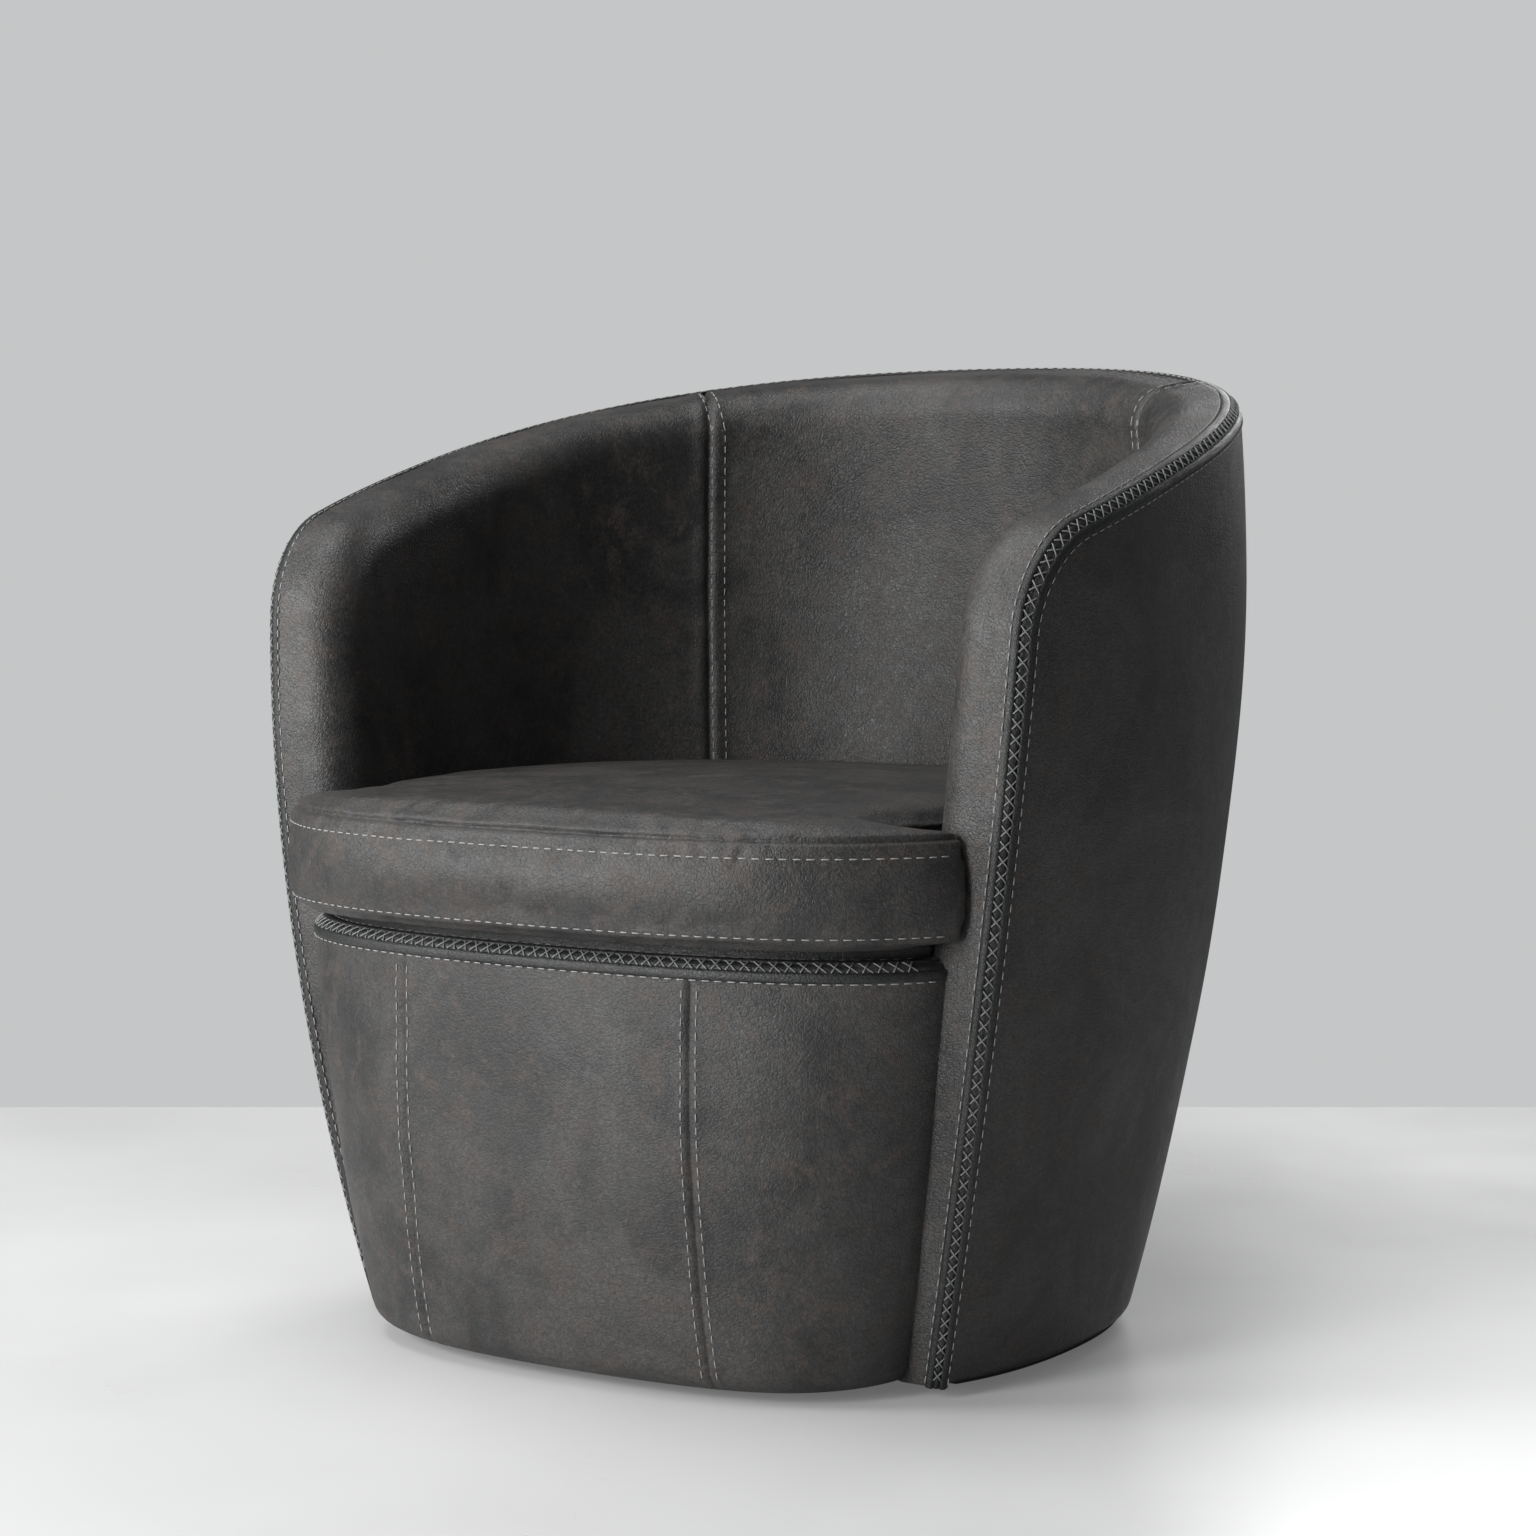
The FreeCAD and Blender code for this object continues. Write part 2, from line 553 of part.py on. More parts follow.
def glide_band(inset):
    """Ring between the plates that reaches into both their grooves."""
    z0 = LOWER_PLATE_TOP - GLIDE_GROOVE
    z1 = UPPER_PLATE_BOTTOM + GLIDE_GROOVE - max(inset, 0)
    half = GLIDE_WIDTH / 2 - inset
    return disc(GLIDE_RADIUS + half, z1 - z0, z0).cut(disc(GLIDE_RADIUS - half, z1 - z0, z0))


def plate_screws(face_z, up):
    """Four screws through a plate, heads between the plates."""
    screws = []
    for x, y in screw_places():
        shank = Part.makeCylinder(SCREW_RADIUS, SCREW_LENGTH, Vector(x, y, face_z), Vector(0, 0, up))
        head = Part.makeCylinder(SCREW_HEAD_RADIUS, SCREW_HEAD, Vector(x, y, face_z), Vector(0, 0, -up))
        screws.append(shank.fuse(head).removeSplitter().Solids[0])
    return Part.makeCompound(screws)


def swivel():
    """Plates, glide ring, screws and pivot of the swivel."""
    add("lower_swivel_plate", swivel_plate(BASE_TOP, PIVOT_RADIUS))
    add("upper_swivel_plate", swivel_plate(UPPER_PLATE_BOTTOM, PIVOT_RADIUS + PIVOT_CLEARANCE))
    add("glide_ring", glide_band(GLIDE_CLEARANCE))
    add("lower_plate_screws", plate_screws(LOWER_PLATE_TOP, -1))
    add("upper_plate_screws", plate_screws(UPPER_PLATE_BOTTOM, 1))

    washer_z = FRAME_BOTTOM + TOUCH_GAP
    nut_z = washer_z + WASHER
    bolt_bottom = BASE_TOP - PIVOT_HEAD
    shank = disc(PIVOT_RADIUS, nut_z + NUT_HEIGHT + PIVOT_END - bolt_bottom, bolt_bottom)
    add("pivot_bolt", shank.fuse(disc(PIVOT_HEAD_RADIUS, PIVOT_HEAD, bolt_bottom)).removeSplitter())
    add("pivot_washer", disc(WASHER_RADIUS, WASHER, washer_z).cut(disc(PIVOT_RADIUS, WASHER, washer_z)))
    corners = []
    for i in range(7):
        angle = math.pi / 3 * i
        corners.append(Vector(NUT_RADIUS * math.cos(angle), NUT_RADIUS * math.sin(angle), nut_z))
    nut = Part.Face(Part.makePolygon(corners)).extrude(Vector(0, 0, NUT_HEIGHT))
    add("pivot_nut", nut.cut(disc(PIVOT_RADIUS, NUT_HEIGHT, nut_z)))


def main():
    os.makedirs("parts", exist_ok=True)
    floor_base()
    swivel()
    barrel_frame()
    front_frame()
    webbing()
    seat_deck()
    upholstery(wall(0.0))
    bindings()
    front_panel()
    cushion()
    for name, shape in parts.items():
        shape.exportStep("parts/" + name + ".step")


main()
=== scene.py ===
import json
import math

import bmesh
import bpy
import numpy as np
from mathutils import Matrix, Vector
from mathutils.bvhtree import BVHTree


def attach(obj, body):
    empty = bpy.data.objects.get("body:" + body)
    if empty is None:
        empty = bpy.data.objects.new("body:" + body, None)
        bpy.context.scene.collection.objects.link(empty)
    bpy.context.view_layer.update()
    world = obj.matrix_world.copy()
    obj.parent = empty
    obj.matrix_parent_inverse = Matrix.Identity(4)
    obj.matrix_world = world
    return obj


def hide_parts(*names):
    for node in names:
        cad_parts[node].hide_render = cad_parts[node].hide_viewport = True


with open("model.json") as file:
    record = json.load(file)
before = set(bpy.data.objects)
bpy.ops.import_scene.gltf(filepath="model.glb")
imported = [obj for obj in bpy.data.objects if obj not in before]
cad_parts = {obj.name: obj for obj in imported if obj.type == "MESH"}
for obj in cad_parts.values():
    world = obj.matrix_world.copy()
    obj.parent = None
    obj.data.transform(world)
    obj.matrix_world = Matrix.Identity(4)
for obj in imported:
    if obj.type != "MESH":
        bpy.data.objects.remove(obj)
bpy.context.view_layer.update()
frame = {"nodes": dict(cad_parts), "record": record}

# Shapes are worked out in millimetres in the frame of the solids and stored in metres.
MM = 0.001
SEAT_BODY = "seat_body"
CUSHION_BODY = "cushion_body"

# Barrel shell, the same forms as in the solids
SHELL_HALF_WIDTH = 383.0
SHELL_HALF_DEPTH = 449.0
SHELL_WIDTH_TAPER = 76.0
SHELL_DEPTH_TAPER = 158.0
WIDTH_TAPER_POWER = 1.85
DEPTH_TAPER_POWER = 1.68
BELLY_HEIGHT = 617.0
SHELL_SQUARENESS = 2.32
ARM_FRONT_POINTS = ((-161.0, 0.0), (-186.0, 200.0), (-193.0, 480.0))
RIM_POINTS = ((-71.0, 686.0), (142.0, 744.0), (424.0, 806.0))
ARM_CORNER_RADIUS = 100.0
WALL = 76.0
OUTER_ROLL = 18.0
INNER_ROLL = 34.0
HEM_HEIGHT = 9.0
HEM_RADIUS = 12.0
INSIDE_SEAM_ANGLE = math.radians(38.5)
BACK_SEAM_ANGLE = math.radians(24.0)
TURN_ANGLE = math.radians(60.0)

# Front panel
DRUM_CENTRE_Y = -142.0
DRUM_SIDE_INSET = 60.0
DRUM_REACH = 162.0
DRUM_REACH_TAPER = 32.0
DRUM_BELLY_HEIGHT = 250.0
DRUM_SQUARENESS = 2.5
DRUM_TOP = 343.0
DRUM_TOP_RADIUS = 12.0
DRUM_HEM_RADIUS = 16.0
DRUM_SEAM_X = 135.0
DRUM_END_OVERLAP = 2.5
DECK_BOTTOM = 329.0
DECK_TOP = 353.5
DECK_BORDER_INSET = 15.0

# Sewing
LACE_PITCH = 11.3
LACE_HALF_WIDTH = 4.5
LACE_LEAN = 4.3
LACE_RADIUS = 0.55
STRIP_INNER = 3.9
STRIP_OUTER = 12.2
STRIP_HEIGHT = 2.0
TOPSTITCH_LINE = 12.4
STITCH_PITCH = 10.2
STITCH_LENGTH = 6.2
STITCH_RADIUS = 0.5
SEAM_STITCH_LINE = 6.0
INSIDE_SEAM_SPAN = (440, 752)
PANEL_SEAM_SPAN = (DRUM_TOP - 20, 14)
BACK_SEAM_SPAN = (30, 770)
BACK_SEAM_POINTS = 140
STITCH_START = 3.0
STITCH_JITTER = 0.3
EDGE_STITCH_LIFT = 0.9
SEAM_STITCH_LIFT = 0.25
CUSHION_STITCH_LIFT = 0.2

# Mesh steps
FINE_PER_U = 1000
END_CLOSENESS = 0.55
ARM_STEP = 6.0
OUTSIDE_ARM_STEP = 7.0
INSIDE_SIDE_COLUMNS = 90
INSIDE_BACK_COLUMNS = 45
OUTSIDE_SIDE_COLUMNS = 80
OUTSIDE_BACK_POINTS = 31
OUTSIDE_ROWS = 60
SEAM_POINTS = 60
GRID_MERGE = 0.2
STRIP_MERGE = 0.01

# Relief of the leather: depth and width of each groove, and what lies beside it
INSIDE_GROOVE = (3.6, 2.6)
OUTSIDE_GROOVE = (1.8, 2.2)
PANEL_GROOVE = (2.2, 2.0)
CUSHION_GROOVE = (3.4, 1.9)
SWELLING_HEIGHT = 0.35
SWELLING_PLACE = 3.2
SWELLING_WIDTH = 2.4
PUCKER_SIZE = 26.0
PUCKER_WAVES = 9
GATHER_REACH = 26.0
GATHER_HEIGHT = 0.5
SEAMS_BEHIND_Y = 60
FAR_AWAY = 1000.0

# Loose cushion
CUSHION_SEAM_HEIGHT = 436.0
CUSHION_BOTTOM = 353.9
CUSHION_STITCH_HEIGHTS = (364.0, 423.0)
CUSHION_PRESSURE = 4.0
CUSHION_CAP = 7.0
CUSHION_SHRINK = 3.0
EAR_START = 285.0
EAR_LENGTH = 40.0
EAR_BACK_Y = -192.0
EAR_SHIFT_LEFT = 17.0
EAR_SHIFT_RIGHT = 7.0

rng = np.random.default_rng(7)


def unit(v):
    return v / np.maximum(np.linalg.norm(v, axis=-1, keepdims=True), 1e-9)


def half_width(z, inset):
    return SHELL_HALF_WIDTH - SHELL_WIDTH_TAPER * np.abs(1 - z / BELLY_HEIGHT) ** WIDTH_TAPER_POWER - inset


def half_depth(z, inset):
    return SHELL_HALF_DEPTH - SHELL_DEPTH_TAPER * np.abs(1 - z / BELLY_HEIGHT) ** DEPTH_TAPER_POWER - inset


def on_barrel(angle, z, inset):
    """Point of the barrel surface at an angle from the back and a height."""
    s, c = np.sin(angle), np.cos(angle)
    x = half_width(z, inset) * np.sign(s) * np.abs(s) ** (2 / SHELL_SQUARENESS)
    y = half_depth(z, inset) * np.sign(c) * np.abs(c) ** (2 / SHELL_SQUARENESS)
    return np.stack([x, y, z + 0 * x], -1)


def barrel_angle(p, inset):
    """The angle at which on_barrel gives a point beside this one."""
    s = (np.abs(p[..., 0]) / half_width(p[..., 2], inset)) ** (SHELL_SQUARENESS / 2)
    c = (np.abs(p[..., 1]) / half_depth(p[..., 2], inset)) ** (SHELL_SQUARENESS / 2)
    return np.arctan2(s * np.sign(p[..., 0]), c * np.sign(p[..., 1]))


def barrel_normal(p, inset):
    """Outward normal of the barrel surface."""
    n = SHELL_SQUARENESS

    def level(z):
        across = (np.abs(p[..., 0]) / half_width(z, inset)) ** n
        return across + (np.abs(p[..., 1]) / half_depth(z, inset)) ** n

    w, d = half_width(p[..., 2], inset), half_depth(p[..., 2], inset)
    gx = n * np.sign(p[..., 0]) * np.abs(p[..., 0]) ** (n - 1) / w ** n
    gy = n * np.sign(p[..., 1]) * np.abs(p[..., 1]) ** (n - 1) / d ** n
    gz = (level(p[..., 2] + 1) - level(p[..., 2] - 1)) / 2
    return unit(np.stack([gx, gy, gz], -1))


def circle_through(a, b, c):
    """Centre and radius of a circle through three side-view points."""
    rows = np.array([[b[0] - a[0], b[1] - a[1]], [c[0] - a[0], c[1] - a[1]]]) * 2
    right = [b[0] ** 2 - a[0] ** 2 + b[1] ** 2 - a[1] ** 2, c[0] ** 2 - a[0] ** 2 + c[1] ** 2 - a[1] ** 2]
    centre = np.linalg.solve(rows, right)
    return centre, math.dist(centre, a)


FRONT_CENTRE, FRONT_RADIUS = circle_through(*ARM_FRONT_POINTS)
RIM_CENTRE, RIM_RADIUS = circle_through(*RIM_POINTS)


def corner_centre():
    """Centre of the arm's corner arc, tangent inside the other two arcs."""
    r1, r2 = FRONT_RADIUS - ARM_CORNER_RADIUS, RIM_RADIUS - ARM_CORNER_RADIUS
    between = RIM_CENTRE - FRONT_CENTRE
    d = np.linalg.norm(between)
    along = (r1 * r1 - r2 * r2 + d * d) / (2 * d)
    across = math.sqrt(r1 * r1 - along * along)
    u = between / d
    side = np.array([-u[1], u[0]])
    options = [FRONT_CENTRE + u * along + side * across * s for s in (1, -1)]
    return min(options, key=lambda p: abs(p[0]))


CORNER_CENTRE = corner_centre()


def heading(vector):
    return math.atan2(vector[1], vector[0])


FRONT_JOIN = heading(CORNER_CENTRE - FRONT_CENTRE)
RIM_JOIN = heading(CORNER_CENTRE - RIM_CENTRE)
FRONT_START = heading(np.array([ARM_FRONT_POINTS[0][0], 0.0]) - FRONT_CENTRE)


def front_y(z):
    """Side view: where the arm front stands at a height."""
    return FRONT_CENTRE[0] - np.sqrt(FRONT_RADIUS ** 2 - (z - FRONT_CENTRE[1]) ** 2)


def rim_point(angle, inset, drop):
    """Point of the rim at a barrel angle, and the rim's own normal there."""
    z = np.full_like(angle, RIM_POINTS[1][1])
    radius = RIM_RADIUS - drop
    for _ in range(12):
        y = on_barrel(angle, z, inset)[..., 1]
        z = RIM_CENTRE[1] + np.sqrt(radius ** 2 - (y - RIM_CENTRE[0]) ** 2)
    p = on_barrel(angle, z, inset)
    n = np.stack([0 * y, (y - RIM_CENTRE[0]) / radius, (z - RIM_CENTRE[1]) / radius], -1)
    return p, n


def edge_line(u, inset, drop):
    """The barrel's edge: u 0-1 up the arm front, 1-2 round its corner, 2-3 and 3-4 along the rim."""
    turn, _ = rim_point(np.array([TURN_ANGLE]), inset, drop)
    turn_heading = math.atan2(turn[0, 2] - RIM_CENTRE[1], turn[0, 1] - RIM_CENTRE[0])
    points = np.zeros((len(u), 3))
    normals = np.zeros((len(u), 3))
    arcs = ((0, FRONT_CENTRE, FRONT_RADIUS, FRONT_START, FRONT_JOIN),
            (1, CORNER_CENTRE, ARM_CORNER_RADIUS, FRONT_JOIN, RIM_JOIN),
            (2, RIM_CENTRE, RIM_RADIUS, RIM_JOIN, turn_heading))
    for start, centre, radius, a0, a1 in arcs:
        a0, a1 = a0 % (2 * math.pi), a1 % (2 * math.pi)
        mask = (u >= start) & (u <= start + 1)
        a = a0 + (a1 - a0) * (u[mask] - start)
        y = centre[0] + (radius - drop) * np.cos(a)
        z = centre[1] + (radius - drop) * np.sin(a)
        ratio = np.clip(1 - (np.abs(y) / half_depth(z, inset)) ** SHELL_SQUARENESS, 0, 1)
        x = half_width(z, inset) * ratio ** (1 / SHELL_SQUARENESS)
        points[mask] = np.stack([x, y, z], -1)
        normals[mask] = np.stack([0 * a, np.cos(a), np.sin(a)], -1)
    mask = u > 3
    if mask.any():
        points[mask], normals[mask] = rim_point(TURN_ANGLE * (4 - u[mask]), inset, drop)
    return points, normals


def turned(a, b, k):
    """Unit vectors turned from a towards b by the share k."""
    angle = np.arccos(np.clip((a * b).sum(-1, keepdims=True), -1, 1))
    s = np.maximum(np.sin(angle), 1e-6)
    return (np.sin((1 - k) * angle) * a + np.sin(k * angle) * b) / s


class Roll:
    """The rolled edge over the wall: v 0-1 outer roll, 1-2 flat, 2-3 inner roll."""

    def __init__(self, u):
        self.u = u
        self.outer, self.up = edge_line(u, OUTER_ROLL, OUTER_ROLL)
        self.inner, self.up_inner = edge_line(u, WALL - INNER_ROLL, INNER_ROLL)
        self.out = barrel_normal(self.outer, OUTER_ROLL)
        self.into = -barrel_normal(self.inner, WALL - INNER_ROLL)

    def at(self, v):
        """Points and normals of one line along the roll."""
        if v <= 1:
            n = turned(self.out, self.up, v)
            return self.outer + OUTER_ROLL * n, n
        if v >= 2:
            n = turned(self.up_inner, self.into, v - 2)
            return self.inner + INNER_ROLL * n, n
        k = v - 1
        n = unit(self.up * (1 - k) + self.up_inner * k)
        a, b = self.outer + OUTER_ROLL * self.up, self.inner + INNER_ROLL * self.up_inner
        return a * (1 - k) + b * k, n

    def beside(self, w):
        """Line at a distance from the lacing, positive towards the inside."""
        half = OUTER_ROLL * math.pi / 4
        if w < -half:
            p, n = self.at(0.0)
            away = unit(self.up - n * (self.up * n).sum(-1, keepdims=True))
            return p + away * (w + half), n
        if w <= half:
            return self.at(0.5 + w / (2 * half))
        start, _ = self.at(1.0)
        stop, _ = self.at(2.0)
        flat = np.linalg.norm(stop - start, axis=1).mean()
        return self.at(1 + min((w - half) / flat, 1.0))


FINE_U = np.linspace(0, 4, 4 * FINE_PER_U + 1)
FINE_LINE = Roll(FINE_U).at(0.5)[0]
FINE_LENGTH = np.concatenate([[0], np.cumsum(np.linalg.norm(np.diff(FINE_LINE, axis=0), axis=1))])
U_START = float(np.interp(HEM_HEIGHT, FINE_LINE[:FINE_PER_U, 2], FINE_U[:FINE_PER_U]))
U_CORNER = 1.5


def length_at(u):
    return np.interp(u, FINE_U, FINE_LENGTH)


def u_at_length(lengths):
    return np.interp(lengths, FINE_LENGTH, FINE_U)


def ending_at(line, point):
    """The line, bent evenly so that it ends at the point."""
    return line + np.linspace(0, 1, len(line))[:, None] * (point - line[-1])


def starting_at(line, point):
    """The line, bent evenly so that it starts at the point."""
    return line + np.linspace(1, 0, len(line))[:, None] * (point - line[0])


def spaced(u0, u1, step):
    """Values of u about evenly spaced along the edge."""
    a, b = length_at(u0), length_at(u1)
    n = max(2, int(round((b - a) / step)))
    return u_at_length(np.linspace(a, b, n + 1))


def u_at_angle(v, angle):
    """Where a line of the roll crosses the upright plane at that angle from the back."""
    p, _ = Roll(FINE_U).at(v)
    behind = slice(5 * FINE_PER_U // 2, None)
    a = np.arctan2(p[behind, 0], p[behind, 1])
    order = np.argsort(a)
    return float(np.interp(angle, a[order], FINE_U[behind][order]))


U_INSIDE_SEAM = u_at_angle(2.0, INSIDE_SEAM_ANGLE)
U_BACK_SEAM = u_at_angle(0.0, BACK_SEAM_ANGLE)


def coons(left, right, bottom, top):
    """Grid between four boundary rows, first index along bottom and top."""
    n, m = len(bottom) - 1, len(left) - 1
    s = np.linspace(0, 1, n + 1)[:, None, None]
    t = np.linspace(0, 1, m + 1)[None, :, None]
    ruled = (1 - s) * left[None] + s * right[None] + (1 - t) * bottom[:, None] + t * top[:, None]
    low_corners = (1 - s) * (1 - t) * bottom[0] + s * (1 - t) * bottom[-1]
    corners = low_corners + (1 - s) * t * top[0] + s * t * top[-1]
    return ruled - corners


def skin(left, right, bottom, top, inset):
    """Patch of the barrel surface whose four sides are given as points."""
    sides = []
    for line in (left, right, bottom, top):
        angle = barrel_angle(line, inset)
        flat = np.stack([angle, line[:, 2]], -1)
        sides.append((flat, line - on_barrel(angle, line[:, 2], inset)))
    flat = coons(*[side[0] for side in sides])
    shift = coons(*[side[1] for side in sides])
    p = on_barrel(flat[..., 0], flat[..., 1], inset) + shift
    return p, barrel_normal(p, inset)


def seam_line(angle, z, inset):
    """Upright line of the barrel surface in the plane at an angle from the back."""
    w, d = half_width(z, inset), half_depth(z, inset)
    s, c = math.sin(angle), math.cos(angle)
    r = ((s / w) ** SHELL_SQUARENESS + (c / d) ** SHELL_SQUARENESS) ** (-1 / SHELL_SQUARENESS)
    return np.stack([r * s, r * c, z], -1)


def closer_at_end(n):
    """Steps from 0 to 1 that get finer towards 1."""
    k = np.linspace(0, 1, n + 1)
    return (1 - END_CLOSENESS) * k + END_CLOSENESS * (1 - (1 - k) ** 2)


def placed(name, data):
    """New object in the scene."""
    obj = bpy.data.objects.new(name, data)
    bpy.context.scene.collection.objects.link(obj)
    return obj


class Sheet:
    """Mesh made of point grids with their normals."""

    def __init__(self):
        self.points, self.normals, self.faces = [], [], []
        self.count = 0

    def grid(self, p, n, closed=False):
        a, b = p.shape[:2]
        self.points.append(p.reshape(-1, 3))
        self.normals.append(n.reshape(-1, 3))
        index = np.arange(a * b).reshape(a, b) + self.count
        rows = [(index[:-1, :-1], index[1:, :-1], index[1:, 1:], index[:-1, 1:])]
        if closed:
            rows.append((index[:-1, -1], index[1:, -1], index[1:, 0], index[:-1, 0]))
        for quad in rows:
            self.faces.append(np.stack([q.ravel() for q in quad], -1))
        self.count += a * b
        return self

    def mirrored(self):
        other = Sheet()
        flip = np.array([-1.0, 1.0, 1.0])
        other.points = [p * flip for p in self.points]
        other.normals = [n * flip for n in self.normals]
        other.faces = [f[:, ::-1] for f in self.faces]
        other.count = self.count
        return other

    def plus(self, other):
        both = Sheet()
        both.points = self.points + other.points
        both.normals = self.normals + other.normals
        both.faces = self.faces + [f + self.count for f in other.faces]
        both.count = self.count + other.count
        return both

    def moved(self, by):
        """Moves each point along its normal by what the function gives in mm."""
        for i, (p, n) in enumerate(zip(self.points, self.normals)):
            self.points[i] = p + n * by(p)[:, None]
        return self

    def build(self, name, material, body, merge=GRID_MERGE):
        mesh = bpy.data.meshes.new(name)
        points = np.concatenate(self.points) * MM
        faces = np.concatenate(self.faces)
        mesh.from_pydata(points.tolist(), [], faces.tolist())
        made = bmesh.new()
        made.from_mesh(mesh)
        bmesh.ops.remove_doubles(made, verts=made.verts, dist=merge * MM)
        bmesh.ops.recalc_face_normals(made, faces=made.faces)
        made.to_mesh(mesh)
        made.free()
        mesh.shade_smooth()
        obj = placed(name, mesh)
        mesh.materials.append(material)
        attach(obj, body)
        return obj


def waves(p, size, seed, count=7):
    """Smooth random values near -1 to 1 over space, features about size mm across."""
    draw = np.random.default_rng(seed)
    total = np.zeros(len(p))
    for _ in range(count):
        direction = unit(draw.normal(size=3))
        total += np.sin(p @ direction * (2 * math.pi / size) * draw.uniform(0.6, 1.5) + draw.uniform(0, 7))
    return total / math.sqrt(count)


def gather(p, distance, reach, seed):
    """Small puckers that die away with the distance from a seam."""
    return waves(p, PUCKER_SIZE, seed, PUCKER_WAVES) * np.exp(-np.maximum(distance, 0) / reach)


def plane_distance(p, angle):
    return np.abs(np.abs(p[:, 0]) * math.cos(angle) - p[:, 1] * math.sin(angle))


def groove(d, depth, width):
    """A seam's groove with the low swelling of the leather beside it."""
    valley = -depth * np.exp(-(d / width) ** 2)
    beside = (d - SWELLING_PLACE * width) / (SWELLING_WIDTH * width)
    return valley + SWELLING_HEIGHT * depth * np.exp(-beside ** 2)


# Materials

def nodes_of(material):
    tree = material.node_tree
    return tree.nodes, tree.links


def add_node(nodes, kind, **settings):
    node = nodes.new(kind)
    for key, value in settings.items():
        setattr(node, key, value)
    return node


def ramp(nodes, stops):
    node = nodes.new("ShaderNodeValToRGB")
    while len(node.color_ramp.elements) < len(stops):
        node.color_ramp.elements.new(0.5)
    for element, (place, colour) in zip(node.color_ramp.elements, stops):
        element.position = place
        element.color = (*colour, 1.0) if len(colour) == 3 else colour
    return node


def noise(nodes, links, place, scale, detail=4.0, rough=0.55, distortion=0.0):
    node = nodes.new("ShaderNodeTexNoise")
    node.inputs["Scale"].default_value = scale
    node.inputs["Detail"].default_value = detail
    node.inputs["Roughness"].default_value = rough
    node.inputs["Distortion"].default_value = distortion
    links.new(place, node.inputs["Vector"])
    return node


def plain_material(name, colour, roughness, metallic=0.0, scale=60.0, bump=0.0002, spread=0.25):
    """A finish with a little variation in colour and roughness."""
    material = bpy.data.materials.new(name)
    material.use_nodes = True
    nodes, links = nodes_of(material)
    shader = nodes["Principled BSDF"]
    shader.inputs["Metallic"].default_value = metallic
    place = nodes.new("ShaderNodeTexCoord").outputs["Object"]
    mottle = noise(nodes, links, place, scale)
    dark = tuple(c * (1 - spread) for c in colour)
    light = tuple(min(1.0, c * (1 + spread)) for c in colour)
    tint = ramp(nodes, ((0.3, dark), (0.7, light)))
    links.new(mottle.outputs["Fac"], tint.inputs["Fac"])
    links.new(tint.outputs["Color"], shader.inputs["Base Color"])
    gloss = ramp(nodes, ((0.3, (roughness - 0.06,) * 3), (0.7, (roughness + 0.06,) * 3)))
    links.new(mottle.outputs["Fac"], gloss.inputs["Fac"])
    links.new(gloss.outputs["Color"], shader.inputs["Roughness"])
    relief = nodes.new("ShaderNodeBump")
    relief.inputs["Strength"].default_value = 0.5
    relief.inputs["Distance"].default_value = bump
    links.new(mottle.outputs["Fac"], relief.inputs["Height"])
    links.new(relief.outputs["Normal"], shader.inputs["Normal"])
    return material


